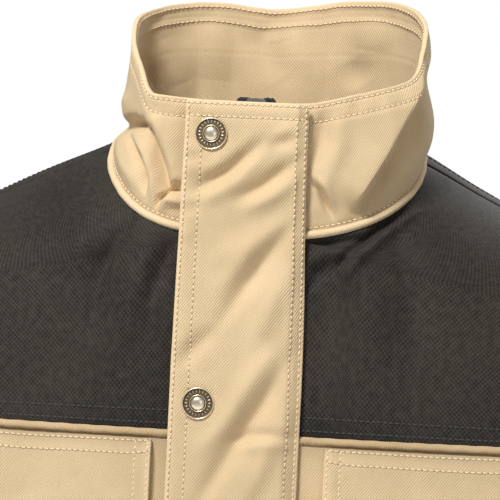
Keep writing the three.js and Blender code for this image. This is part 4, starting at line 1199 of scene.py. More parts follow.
# the front end lies flat under the storm flap
flat_front = smooth(np.abs(collar.P[..., 0]), 18, 44) + (collar.P[..., 1] > -40)
h *= np.clip(smooth(np.abs(collar.P[..., 0]), 22, 34) + (collar.P[..., 1] > -40), 0, 1)
collar.push(h)
collar.P[..., 2] += (smooth(w2, 0.5, 1.0) * 0.9 * field(55, arc_mm, arc_mm * 0, 22, 1))
collar.refresh()
at = edge_attrs(collar, u_edges=(True, True), v_edges=(False, True), seam_v=(True, False), seam_w=3.0)
ob = collar.build("collar_cloth", 4.2, TWILL, levels=0, attrs=at, share=(1 - 0.46 * smooth(w2, 0.55, 0.98)))
keep(ob, "jacket_body", "collar_outer", "collar_facing")
declare(ob, collar)
e0, e1 = collar_u[0] + 0.002, collar_u[-1] - 0.002
w_hi, w_lo, w_seam = 1 - 2.2 / COLLAR_H, 1 - 10.0 / COLLAR_H, 3.2 / COLLAR_H
collar_rows = [path(collar, [(e0, w), (e1, w)], 1400) for w in (w_hi, w_lo, w_seam)]
inner_rows = []
for w in (w_hi, w_lo):
    p, n = path(collar, [(e0, w), (e1, w)], 1400)
    inner_rows.append((p - n * (4.2 * (1 - 0.46 * float(smooth(w, 0.55, 0.98))) + 0.02), -n))
keep(stitch_object("stitch_collar", collar_rows + inner_rows, THREAD), "jacket_body")

# rolled rim where the collar is set into the neck, in a lighter copy of the twill that paints a highlight on it
p, n = path(collar, [(collar_u[0] + 0.001, 0.0), (collar_u[-1] - 0.001, 0.0)], 420)
rim = p + n * 0.55 + np.array([0, 0, -0.2])
rim = rim + n * (0.10 * np.sin(np.arange(len(rim)) * 0.55) * rng.uniform(0.4, 1, len(rim)))[:, None]
keep(tube_object("neck_rim", rim, 2.0, TWILL_RIM_HIGHLIGHT, sides=12), "jacket_body")

# ---------------------------------------------------------------- yoke and seam stitching
rows_dark, rows_beige = [], []
for side in (1, -1):
    yk = yokes[side]
    for mm in (4.2, 11.2):
        rows_dark.append(path(yk, [(0.004, V_YOKE + (mm / 103.0) * (V_NF - V_YOKE)), (0.999, V_YOKE + (mm / 103.0) * (V_NF - V_YOKE) * 1.15)], 700))
    fp = fronts[side]
    rows_beige.append(path(fp, [(0.008, panel_v[0] + 0.004), (0.008, panel_v[-1] - 0.002)], 900))
for sh in half:
    for mm in (4.2, 11.2):
        rows_dark.append(path(sh, [(0.004, V_YOKE + (mm / 150.0) * (V_NB - V_YOKE)), (0.999, V_YOKE + (mm / 150.0) * (V_NB - V_YOKE) * 1.3)], 700))
    # shoulder seam, sewn down on the back yoke
    rows_dark.append(path(sh, [(0.01, 0.982), (0.99, 0.975)], 260))
keep(stitch_object("stitch_yokes", rows_dark, THREAD_DK, slot="oxford"), "jacket_body")
keep(stitch_object("stitch_panels", rows_beige + band_rows, THREAD, pitch=3.2), "jacket_body")

# ---------------------------------------------------------------- front plane: flap, snaps, zip
LEAN = math.atan(CF_SLOPE)
FP_O = np.array([0, cfy(FRONT_LEN), FRONT_LEN])
FP_X = np.array([1.0, 0, 0])
FP_OUT = np.array([0, -math.cos(LEAN), math.sin(LEAN)])
FP_DOWN = np.array([0, -math.sin(LEAN), -math.cos(LEAN)])
FULL = FRONT_LEN / math.cos(LEAN)


def fplane(x, out, s):
    x, out, s = np.broadcast_arrays(np.asarray(x, float), np.asarray(out, float), np.asarray(s, float))
    return FP_O + x[..., None] * FP_X + out[..., None] * FP_OUT + s[..., None] * FP_DOWN


FLAP_FOLDS = [
    ([(262, 142), (247, 155), (228, 172), (204, 185), (188, 190)], -3.0, 8),
    ([(258, 160), (236, 180), (206, 200)], 1.8, 9),
    ([(240, 146), (222, 160), (204, 172)], 1.2, 9),
    ([(304, 158), (284, 170), (262, 187), (238, 198)], -2.8, 7),
    ([(298, 180), (276, 194), (248, 210)], 1.8, 8),
    ([(300, 139), (286, 142), (270, 146)], -1.4, 5),
    ([(296, 128), (276, 134)], 0.8, 6),
    ([(216, 262), (236, 250), (256, 236)], 1.0, 12),
    ([(292, 228), (266, 256), (236, 300), (222, 320)], -2.4, 10),
    ([(284, 222), (252, 250), (222, 286)], 1.6, 11),
    ([(296, 262), (276, 296), (256, 340)], 1.8, 13),
    ([(214, 330), (194, 348), (176, 366)], -1.6, 9),
    ([(294, 352), (272, 390), (238, 440), (200, 500)], -3.0, 11),
    ([(272, 352), (240, 398), (200, 452)], 1.8, 12),
    ([(300, 396), (276, 440), (244, 500)], 2.0, 12),
    ([(230, 440), (262, 435), (298, 437)], -1.8, 4.5),
    ([(236, 450), (264, 445), (298, 448)], 1.0, 5),
    ([(182, 140), (204, 137)], -1.1, 4),
    ([(181, 160), (203, 154)], -1.2, 4.5),
    ([(181, 150), (200, 147)], 0.7, 4),
    ([(180, 182), (200, 176)], -0.8, 5),
    ([(178, 212), (200, 206)], -0.9, 5),
    ([(176, 236), (192, 230)], 0.7, 6),
]


def flap_x(q, s):
    """q 0 at the sewn side, 1 at the free edge."""
    right = 31.0 - 2.6 * (1 - smooth(s, 0, 150))
    left = -36.0 + 1.2 * (1 - smooth(s, 0, 150))
    return lerp(right, left, q)


flap_q = lines_with(np.linspace(0, 1, 34), [1.6 / 66, 6.0 / 66, 1 - 9.5 / 66], 1.0 / 66)
flap_s = lines_with(np.linspace(0.6, FULL - 3.6, 292), [2.0, 8.4, FULL - 6.0], 1.2)
S, Q = np.meshgrid(flap_s, flap_q, indexing="ij")
fx = flap_x(Q, S)
out = 3.4 + 4.4 * smooth(31.0 - fx, 0, 9.0)
P = fplane(fx, out, S)
flap = Sheet(flap_q, flap_s, P, flip=True)
if flap.N[50, 20] @ FP_OUT < 0:
    flap.flip = not flap.flip
    flap.refresh()
cx, cy = chart(flap.P)
h = 1.7 * strokes(cx, cy, FLAP_FOLDS)
low = smooth(S, 190, 240)
h += low * (2.4 * creases(61, S - fx * 0.8, fx, 24, 60) + 0.8 * field(62, S, fx, 40, 30))
h += 0.34 * field(63, S, fx, 12, 12) + 0.6 * field(64, S, fx, 34, 26)
snap_s = SNAP_FIRST + SNAP_PITCH * np.arange(SNAP_COUNT)
around = np.ones_like(h)
for ss in snap_s:
    d = np.hypot(fx - SNAP_X, S - ss)
    around *= smooth(d, 7.5, 20)
    h -= 0.0 * d
edge_r = (31.0 - fx)
edge_l = fx - flap_x(1.0, S)
h *= around * (0.35 + 0.65 * smooth(edge_r, 4, 18)) * (0.45 + 0.55 * smooth(edge_l, 0, 10)) * smooth(S, 0, 14)
for ss in snap_s:  # the snap pulls the cloth in around its rim
    d = np.hypot(fx - SNAP_X, S - ss)
    h -= 0.5 * np.exp(-((d / 8.8) ** 4)) - 0.25 * np.exp(-(((d - 10.5) / 2.2) ** 2))
puck = field(65, S, fx, 3.4, 6)
h += 0.22 * puck * np.exp(-((edge_r - 4) / 4) ** 2) + 0.16 * puck * np.exp(-((edge_l - 8) / 4) ** 2) + 0.2 * field(66, fx, S, 3.4, 8) * np.exp(-((S - 5) / 5) ** 2)
for dd in (1.6, 6.0):
    h -= 0.42 * np.exp(-(((edge_r - dd) / 0.9) ** 2))
h -= 0.34 * np.exp(-(((edge_l - 9.5) / 1.0) ** 2))
for dd in (2.0, 8.4):
    h -= 0.42 * np.exp(-(((S - dd) / 1.0) ** 2))
flap.push(h)
at = edge_attrs(flap, u_edges=(False, True), v_edges=(True, True))
flap_ob = flap.build("storm_flap_cloth", 2.2, TWILL, attrs=at)
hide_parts("placket_flap")
declare(flap_ob, flap)


def q_at(mm_from_left=None, mm_from_right=None):
    return 1 - mm_from_left / 66.5 if mm_from_left is not None else mm_from_right / 66.5


s_top, s_end = flap_s[0], flap_s[-1]
flap_rows = [
    path(flap, [(q_at(mm_from_right=1.7), s_top + 1.5), (q_at(mm_from_right=1.7), s_end - 2)], 1500),
    path(flap, [(q_at(mm_from_right=6.2), s_top + 8), (q_at(mm_from_right=6.2), s_end - 2)], 1500),
    path(flap, [(q_at(mm_from_left=9.5), s_top + 8.4), (q_at(mm_from_left=9.5), s_end - 5)], 1500),
    path(flap, [(q_at(mm_from_left=2.0), s_top + 1.8), (q_at(mm_from_left=2.0), s_end - 2)], 1500),
    path(flap, [(q_at(mm_from_right=2.0), s_top + 1.6), (q_at(mm_from_left=1.6), s_top + 1.6)], 160),
    path(flap, [(q_at(mm_from_right=2.0), s_top + 8.0), (q_at(mm_from_left=2.0), s_top + 8.0)], 160),
    path(flap, [(q_at(mm_from_right=2.0), s_end - 3), (q_at(mm_from_left=2.0), s_end - 3)], 160),
]
flap_st = stitch_object("stitch_flap", flap_rows, THREAD)


def to_m(p):
    return (np.asarray(p, float) - EYE) / 1000.0


b0, b1 = to_m(fplane(31.5, 2.5, 300.0)), to_m(fplane(22.0, 2.5, 300.0))
for ob in (flap_ob, flap_st):
    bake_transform(ob)
    pieces[ob.name] = ob


# snaps
def lathe(profile, n=72, bumps=None):
    """profile of (radius, height, wear, dirt), from the axis or an open bore outward and back."""
    R = np.array([p[0] for p in profile], float)
    H = np.array([p[1] for p in profile], float)
    ang = np.arange(n) * 2 * math.pi / n
    rr = np.broadcast_to(R[:, None], (len(R), n)).copy()
    hh = np.broadcast_to(H[:, None], (len(R), n)).copy()
    if bumps is not None:
        hh = hh + bumps(rr, ang[None, :])
    V = np.stack([rr * np.cos(ang)[None], hh, rr * np.sin(ang)[None]], -1)
    at = {"wear": np.broadcast_to(np.array([p[2] for p in profile])[:, None], rr.shape), "seam": np.broadcast_to(np.array([p[3] for p in profile])[:, None], rr.shape)}
    if bumps is not None:  # the raised marks are rubbed bright
        up = bumps(rr, ang[None, :]) / 0.30
        top = (np.arange(len(R)) > len(R) // 4)[:, None]
        at = {"wear": at["wear"] + 0.95 * up * top, "seam": at["seam"] * (1 - np.clip(up, 0, 1) * top)}
    k = len(R)
    j, i = np.meshgrid(np.arange(k - 1), np.arange(n), indexing="ij")
    F = np.stack([j * n + i, j * n + (i + 1) % n, (j + 1) * n + (i + 1) % n, (j + 1) * n + i], -1).reshape(-1, 4)
    return V.reshape(-1, 3), F, at


def fine(profile, step=0.16):
    """More rings along a profile."""
    out = []
    for a, b in zip(profile[:-1], profile[1:]):
        d = math.hypot(b[0] - a[0], b[1] - a[1])
        n = max(1, int(round(d / step)))
        for k in range(n):
            t = k / n
            out.append(tuple(lerp(x, y, t) for x, y in zip(a, b)))
    out.append(profile[-1])
    return out


def chaikin(pr, times=2):
    pr = [np.array(p, float) for p in pr]
    for _ in range(times):
        out = [pr[0]]
        for a, b in zip(pr[:-1], pr[1:]):
            out += [a * 0.75 + b * 0.25, a * 0.25 + b * 0.75]
        out.append(pr[-1])
        pr = out
    return [tuple(p) for p in pr]


CAP = chaikin([
    (0.001, 0.0, 0, 0.3), (7.6, 0.0, 0, 0.6), (8.1, 0.15, 0.1, 0.5), (8.3, 0.75, 0.35, 0.0), (8.2, 1.5, 0.8, 0), (7.9, 1.85, 1.0, 0), (7.6, 1.75, 0.7, 0.0), (7.45, 1.3, 0.0, 0.5),
    (7.3, 0.98, -0.4, 0.7), (6.9, 0.92, -0.4, 0.6), (4.7, 0.92, -0.4, 0.6), (4.5, 1.0, 0.0, 0.6), (4.42, 1.55, 0.6, 0), (4.2, 1.78, 0.95, 0), (3.95, 1.6, 0.4, 0.2),
    (3.8, 1.3, -0.2, 0.7), (3.62, 1.3, 0.0, 0.5), (3.45, 1.75, 0.6, 0), (3.0, 2.35, 0.9, 0), (2.2, 2.75, 1.1, 0), (1.2, 2.95, 1.2, 0), (0.001, 3.0, 1.2, 0),
])
SOCKET = chaikin([(2.35, 0.0, 0.2, 0), (5.4, 0.0, 0.4, 0), (5.9, 0.5, 0.6, 0), (5.85, 1.2, 0.6, 0), (5.3, 2.2, 0.3, 0), (2.5, 2.2, 0, 0.5), (2.35, 1.6, 0, 0.6), (2.35, 0.0, 0.2, 0)])
STUD = chaikin([(0.001, 0, 0, 0.3), (4.9, 0, 0, 0.5), (5.0, 0.4, 0.3, 0), (4.8, 0.95, 0.6, 0), (2.5, 1.0, 0.1, 0.5), (2.15, 1.3, 0.1, 0.3), (2.05, 2.2, 0.3, 0), (2.2, 3.1, 0.6, 0), (1.7, 3.6, 0.8, 0), (0.001, 3.7, 0.9, 0)])


def knurl(rr, ang):
    """A ring of small dots pressed up in the sunk band."""
    band = np.exp(-(((rr - 6.0) / 0.62) ** 6))
    bars = np.clip(np.cos(ang * 22) * 1.8 - 0.7, 0, 1)
    return 0.30 * band * bars


def place_lathe(name, profile, frame_m, mat, bumps=None, n=72, cap_axis=True):
    V, F, at = lathe(profile, n, bumps)
    V = V @ frame_m[:3, :3].T + frame_m[:3, 3]
    ob = raw_object(name, V, F, None, at)
    import bmesh
    bm = bmesh.new()
    bm.from_mesh(ob.data)
    bmesh.ops.remove_doubles(bm, verts=bm.verts, dist=4e-6)
    bmesh.ops.holes_fill(bm, edges=[e for e in bm.edges if e.is_boundary], sides=0)
    bmesh.ops.recalc_face_normals(bm, faces=bm.faces)
    bm.to_mesh(ob.data)
    bm.free()
    ob.data.polygons.foreach_set("use_smooth", [True] * len(ob.data.polygons))
    ob.data.materials.append(mat)
    return ob


def snap_frame(center, normal, spin=0.0, tilt=(0, 0)):
    n = np.asarray(normal, float)
    n /= np.linalg.norm(n)
    x = np.cross(n, [0, 0, 1.0])
    x /= np.linalg.norm(x)
    z = np.cross(x, n)
    n2 = n + x * tilt[0] + z * tilt[1]
    n2 /= np.linalg.norm(n2)
    x = np.cross(n2, z)
    x /= np.linalg.norm(x)
    z = np.cross(x, n2)
    c, s = math.cos(spin), math.sin(spin)
    M = np.eye(4)
    M[:3, 0], M[:3, 1], M[:3, 2], M[:3, 3] = x * c + z * s, n2, -x * s + z * c, center
    return M


for i, ss in enumerate(snap_s):
    k = i + 1
    tilt = (0.03 * math.sin(2.1 * k), 0.03 * math.cos(1.7 * k))
    ob = place_lathe("snap_cap_%d_brass" % k, CAP, snap_frame(fplane(SNAP_X, 7.35, ss), FP_OUT, 0.7 * k, tilt), BRASS, bumps=knurl, n=192)
    keep(ob, "storm_flap", "snap_cap_%d" % k)
    ob = place_lathe("snap_socket_%d_brass" % k, SOCKET, snap_frame(fplane(SNAP_X, 2.85, ss), FP_OUT), BRASS, n=48)
    keep(ob, "storm_flap", "snap_socket_%d" % k)
    ob = place_lathe("snap_stud_%d_brass" % k, STUD, snap_frame(fplane(SNAP_X, 0.3, ss), FP_OUT), BRASS, n=48)
    keep(ob, "jacket_body", "snap_stud_%d" % k)

# zip tapes, coils, stop
for side, tag in ((1, "left"), (-1, "right")):
    q = np.linspace(3.7, 17.0, 19)
    ss = np.concatenate([np.linspace(-2.6, 20, 18), np.linspace(24, FULL - 12.5, 180)])
    SS, QQ = np.meshgrid(ss, q, indexing="ij")
    ends = (9.0 * smooth(QQ, 8.5, 14.0) + 0.35 * field(72 + side, QQ, QQ * 0, 0.5, 1)) * (1 - smooth(SS, -2.6, 16.0))
    P = fplane(QQ * side, -5.7 + 0.12 * field(71, SS, QQ, 9, 9), SS + ends)
    sh = Sheet(q, ss, P, flip=side > 0)
    if sh.N[10, 3] @ FP_OUT < 0:
        sh.flip = not sh.flip
        sh.refresh()
    declare(keep(sh.build("zip_tape_%s_woven" % tag, 0.7, TAPE, levels=0, slot="zip_tape"), "jacket_body", "zip_tape_" + tag), sh)
    turns = int((FULL - 16) / 2.0)
    a = np.linspace(0, turns * 2 * math.pi, turns * 9)
    cx_ = 2.25 + 1.25 * np.cos(a)
    cy_ = -6.0 + 0.95 * np.sin(a)
    cz_ = 0.6 + a / (2 * math.pi) * 2.0 + (0.5 if side < 0 else 0)
    V, F, UV, caps = tube(fplane(cx_ * side, cy_, cz_), 0.42, 6)
    ob = tube_object("zip_coil_" + tag, fplane(cx_ * side, cy_, cz_), 0.42, COIL, sides=6)
    keep(ob, "jacket_body", "zip_chain_" + tag)


def from_cad(node_name, name, mat, width=0.0003, seg=3):
    """A bevelled copy of a small hard part."""
    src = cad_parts[node_name]
    me = src.data.copy()
    me.name = name
    ob = bpy.data.objects.new(name, me)
    bpy.context.collection.objects.link(ob)
    ob.matrix_world = src.matrix_world.copy()
    import bmesh
    bm = bmesh.new()
    bm.from_mesh(me)
    bmesh.ops.remove_doubles(bm, verts=bm.verts, dist=1e-6)
    bmesh.ops.dissolve_limit(bm, angle_limit=0.02, verts=bm.verts, edges=bm.edges)
    bm.to_mesh(me)
    bm.free()
    m = ob.modifiers.new("bevel", "BEVEL")
    m.width, m.segments, m.limit_method = width, seg, "ANGLE"
    m.angle_limit = math.radians(28)
    m.harden_normals = False
    settle(ob)
    me = ob.data
    for key in ("wear", "seam"):
        if key not in me.attributes:
            me.attributes.new(key, "FLOAT", "POINT")
    me.polygons.foreach_set("use_smooth", [True] * len(me.polygons))
    w = ob.modifiers.new("normals", "WEIGHTED_NORMAL")
    w.keep_sharp = True
    settle(ob)
    ob.data.materials.clear()
    ob.data.materials.append(mat)
    return ob


keep(from_cad("zip_slider", "zip_slider_metal", GUN, 0.00018), "zip_slider", "zip_slider")
keep(from_cad("zip_puller", "zip_puller_metal", GUN, 0.00025), "zip_puller", "zip_puller")
keep(from_cad("zip_bottom_stop", "zip_stop_moulded", COIL, 0.0005), "jacket_body", "zip_bottom_stop")

# ---------------------------------------------------------------- pockets


def x_to_s(x):
    return (x - ZIP_HALF) / (ARM_X - ZIP_HALF)


def on_panel(side, x, z, lift):
    """Points that lie on the displaced front panel, lifted by `lift`."""
    sh = fronts[side]
    shape = np.broadcast(x, z).shape
    xx, zz = np.broadcast_to(x, shape).ravel(), np.broadcast_to(z, shape).ravel()
    p, n = sh.at(x_to_s(xx), v_of_z(np.minimum(zz, PANEL_TOP)))
    p = p.reshape(*shape, 3)
    n = n.reshape(*shape, 3)
    p[..., 2] += np.maximum(z - PANEL_TOP, 0)
    return p + n * np.asarray(lift)[..., None]


def rounded_rect_z(x, x0, x1, z0, cut):
    """Lower edge height with its corners cut off."""
    d = np.minimum(x - x0, x1 - x)
    return z0 + cut * (1 - smooth(d, 0, cut * 1.3))


POCKET = (44.5, 165.5, 415.0, 553.0)
PFLAP = (44.5, 166.5, 494.0, 561.5)
pocket_rows = {1: [], -1: []}
for side, tag in ((1, "left"), (-1, "right")):
    x0, x1, z0, z1 = POCKET
    qs = lines_with(np.linspace(0, 1, 42), [1.8 / 121, 1 - 1.8 / 121], 1.2 / 121)
    ws = lines_with(np.linspace(0, 1, 44), [1.8 / 138, 6.5 / 138], 1.2 / 138)
    W, Q = np.meshgrid(ws, qs, indexing="ij")
    x = lerp(x0, x1, Q)
    zl = rounded_rect_z(x, x0, x1, z0, 9.0)
    z = lerp(zl, z1, W)
    mid = np.sin(np.pi * np.clip(Q, 0, 1)) * np.sin(np.pi * np.clip(W, 0, 1) ** 0.8)
    lift = 1.9 + 2.2 * mid + 0.9 * mid * creases(81 + side, x + 0.3 * z, z, 16, 60)
    ex, ez = np.minimum(x - x0, x1 - x), z - zl
    lift = lift - 0.4 * np.exp(-(((ex - 1.8) / 1.0) ** 2)) - 0.4 * np.exp(-(((ez - 1.8) / 1.0) ** 2))
    P = on_panel(side, x, z, lift)
    sh = Sheet(qs, ws, P, flip=side < 0)
    declare(keep(sh.build("chest_pocket_%s_cloth" % tag, 1.5, TWILL, attrs=edge_attrs(sh)), "jacket_body", "chest_pocket_" + tag), sh)
    for off in (1.8, 7.5):
        pocket_rows[side].append(path(sh, [(off / 121, 0.995), (off / 121, off / 138 + 0.05), (off / 121 + 0.06, off / 138), (1 - off / 121 - 0.06, off / 138), (1 - off / 121, off / 138 + 0.05), (1 - off / 121, 0.995)], 700))

    x0, x1, z0, z1 = PFLAP
    qs = lines_with(np.linspace(0, 1, 46), [1.6 / 122, 8.0 / 122, 1 - 1.6 / 122, 1 - 8.0 / 122], 1.1 / 122)
    ws = lines_with(np.linspace(0, 1, 30), [1.6 / 67, 8.0 / 67], 1.1 / 67)
    W, Q = np.meshgrid(ws, qs, indexing="ij")
    x = lerp(x0, x1, Q)
    zl = rounded_rect_z(x, x0, x1, z0, 10.0)
    z = lerp(zl, z1, W)
    ex, ez = np.minimum(x - x0, x1 - x), z - zl
    lift = 4.9 + 0.9 * np.sin(np.pi * Q) * (1 - W) + 0.8 * creases(85 + side, x, z, 26, 50) * np.sin(np.pi * Q) - 2.2 * smooth(W, 0.86, 1.0)
    for dd in (1.6, 8.0):
        lift = lift - 0.42 * np.exp(-(((ex - dd) / 1.0) ** 2)) - 0.42 * np.exp(-(((ez - dd) / 1.0) ** 2))
    dsn = np.hypot(x - 105.0, z - 508.0)
    lift = lift - 0.4 * np.exp(-((dsn / 9) ** 4))
    P = on_panel(side, x, z, lift)
    sh = Sheet(qs, ws, P, flip=side < 0)
    pf = sh.build("pocket_flap_%s_cloth" % tag, 2.0, TWILL, attrs=edge_attrs(sh, v_edges=(True, False), seam_v=(False, True)))
    declare(pf, sh)
    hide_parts("pocket_flap_" + tag)
    rows = []
    for off in (1.6, 8.0):
        a, b = off / 122, off / 67
        rows.append(path(sh, [(a, 0.985), (a, b + 0.11), (a + 0.065, b), (1 - a - 0.065, b), (1 - a, b + 0.11), (1 - a, 0.985)], 700))
    for w_ in (0.975, 0.88):
        rows.append(path(sh, [(0.01, w_), (0.99, w_)], 300))
    st = stitch_object("stitch_pocket_flap_" + tag, rows, THREAD)
    for o in (pf, st):
        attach(o, "pocket_flap_" + tag)
        pieces[o.name] = o
    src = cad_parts["pocket_snap_cap_" + tag]
    lo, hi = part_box("pocket_snap_cap_" + tag)
    c = (np.array(lo) + np.array(hi)) / 2 * 1000 + EYE
    u_s = np.array([(abs(c[0]) - x0) / (x1 - x0)])
    w_s = np.array([0.21])
    p, n = sh.at(u_s, w_s)
    ob = place_lathe("pocket_snap_%s_brass" % tag, CAP, snap_frame(p[0] + n[0] * 0.1, n[0], 0.4), BRASS, bumps=knurl, n=96)
    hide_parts("pocket_snap_cap_" + tag)
    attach(ob, "pocket_flap_" + tag)
    pieces[ob.name] = ob

# lower pocket welts
welt_rows = []
for side, tag in ((1, "left"), (-1, "right")):
    qs = np.linspace(0, 1, 12)
    ws = np.linspace(0, 1, 44)
    W, Q = np.meshgrid(ws, qs, indexing="ij")
    z = lerp(92.0, 236.0, W)
    x = lerp(148.0, 112.0, W) + (Q - 0.5) * 24
    lift = 2.6 + 0.5 * creases(91, z, x, 20, 20) - 0.8 * (np.abs(Q - 0.5) * 2) ** 6
    P = on_panel(side, x, z, lift)
    sh = Sheet(qs, ws, P, flip=side < 0)
    declare(keep(sh.build("pocket_welt_%s_cloth" % tag, 1.6, TWILL, attrs=edge_attrs(sh)), "jacket_body", "pocket_welt_" + tag), sh)
    a, b = 2.0 / 24, 2.0 / 148
    welt_rows.append(path(sh, [(a, b), (a, 1 - b), (1 - a, 1 - b), (1 - a, b), (a, b)], 500))
keep(stitch_object("stitch_pockets", pocket_rows[1] + pocket_rows[-1] + welt_rows, THREAD), "jacket_body")

# ---------------------------------------------------------------- hanger loop
P0 = []
k = np.linspace(-34, 34, 60)
depth = -6.0 * smooth(34 - np.abs(k), 5, 16)
mid = np.stack([k, 37.2 + depth - 0.0019 * k * k + 0.75, np.full(60, 720.0)], -1)
zz = np.linspace(-4, 4, 7)
P = mid[None] + np.stack([np.zeros(7), np.zeros(7), zz], -1)[:, None]
P[..., 1] -= 0.7 + 0.25 * (1 - (zz / 4) ** 2)[:, None]
sh = Sheet(k, zz, P)
if sh.N[3, 30][1] > 0:
    sh.flip = True
    sh.refresh()
keep(sh.build("hanger_loop_tape", 1.3, TWILL_IN, attrs=edge_attrs(sh)), "jacket_body", "hanger_loop")
bar_rows = []
for x in (-30.5, -28.0, 28.0, 30.5):
    p, n = sh.at(np.full(30, x), np.linspace(-3.2, 3.2, 30))
    bar_rows.append((p, n))
keep(stitch_object("stitch_loop", bar_rows, THREAD, pitch=1.2, length=1.1), "jacket_body")

# ---------------------------------------------------------------- sleeves
DIRX, DIRZ, LEN, TURN, SL_T = 0.242, -0.97, 412.0, 60.0, 0.3
U0 = np.array([ARM_X + 0.15, ARMPIT_Z])
TB = np.array([[ARM_X + 0.15, SHOULDER_Z], [252, 636], [346, 556], [365.4, 398]])
TE = np.array([397.2, 43.4])


def sleeve_point(a, t):
    """a round: 0 at the shoulder side, 0.25 at the front, 0.5 under the arm; t down the sleeve."""
    a, t = np.broadcast_arrays(np.asarray(a, float), np.asarray(t, float))
    k = t / SL_T
    m = 1 - k
    T1 = (m**3)[..., None] * TB[0] + (3 * m * m * k)[..., None] * TB[1] + (3 * m * k * k)[..., None] * TB[2] + (k**3)[..., None] * TB[3]
    k2 = (t - SL_T) / (1 - SL_T)
    T2 = TB[3] + (TE - TB[3]) * k2[..., None]
    L = np.where(t <= SL_T, TURN * k, lerp(TURN, LEN, k2))
    U = U0 + np.stack([DIRX * L, DIRZ * L], -1)
    T = np.where((t <= SL_T)[..., None], T1, T2)
    d = table([(0, 60), (0.3, 69), (0.6, 61), (0.85, 50), (1, 44)], t)
    yc = table([(0, 10), (0.3, 10), (0.6, 3), (1, -32)], t)
    tilt = np.where(t < SL_T, -5 * (1 - k), 0)
    c, s = np.cos(-2 * math.pi * a), np.sin(-2 * math.pi * a)
    side = np.where(t < SL_T, lerp(np.where(s > 0, ARM_BACK, ARM_FRONT), d, np.clip(k, 0, 1)), d)
    half_w = (T - U) / 2
    ctr = (T + U) / 2
    return vec(ctr[..., 0] + half_w[..., 0] * c, yc + tilt * c + side * s, ctr[..., 1] + half_w[..., 1] * c)


T_CUFF = SL_T + (1 - SL_T) * ((352 - TURN) / (LEN - TURN))


def even_t(n, t0, t1):
    t = np.linspace(t0, t1, 800)
    p = (sleeve_point(0.0, t) + sleeve_point(0.25, t) + sleeve_point(0.5, t) + sleeve_point(0.75, t)) / 4
    arc = np.concatenate([[0], np.cumsum(np.linalg.norm(np.diff(p, axis=0), axis=1))])
    return np.interp(np.linspace(0, arc[-1], n), arc, t)


def sleeve_folds(a, t, P, seed):
    around = (a * 2 * math.pi)
    g = 66.0
    c1, s1 = np.cos(around) * g, np.sin(around) * g
    Lz = t * 560.0
    # coordinates that close round the arm
    x, y = c1, s1
    elbow = np.exp(-(((t - 0.56) / 0.14) ** 2))
    stack = smooth(t, 0.72, 0.95)
    cap = np.exp(-((t / 0.10) ** 2))
    pit = np.exp(-(((t - 0.07) / 0.10) ** 2)) * smooth(-np.cos(around), -0.2, 0.7)
    front = 0.5 + 0.5 * np.cos(around - math.pi / 2)
    inner = 0.5 - 0.5 * np.cos(around)
    h = 2.0 * field(seed, x * 0.55, Lz + 0.25 * y, 40, 70)
    h += 5.2 * elbow * (0.35 + 0.65 * front) * creases(seed + 1, Lz + 0.55 * x + 0.25 * y, y, 13.5, 80)
    h += 3.2 * elbow * creases(seed + 2, Lz - 0.5 * x, y - x, 11, 60)
    h += 3.6 * stack * creases(seed + 3, Lz + 0.35 * x - 0.3 * y, x, 10.5, 70)
    h += 3.4 * pit * creases(seed + 4, Lz + 0.8 * y, x, 11, 55)
    h += 1.6 * (1 - cap) * creases(seed + 5, Lz + 0.9 * x + 0.4 * y, x - y, 22, 90) * (0.5 + 0.5 * inner)
    h += 0.5 * field(seed + 6, x, Lz + y, 12, 12)
    return 1.6 * h * smooth(t, 0.0, 0.035) * (1 - smooth(t, T_CUFF - 0.02, T_CUFF) * 0.7)


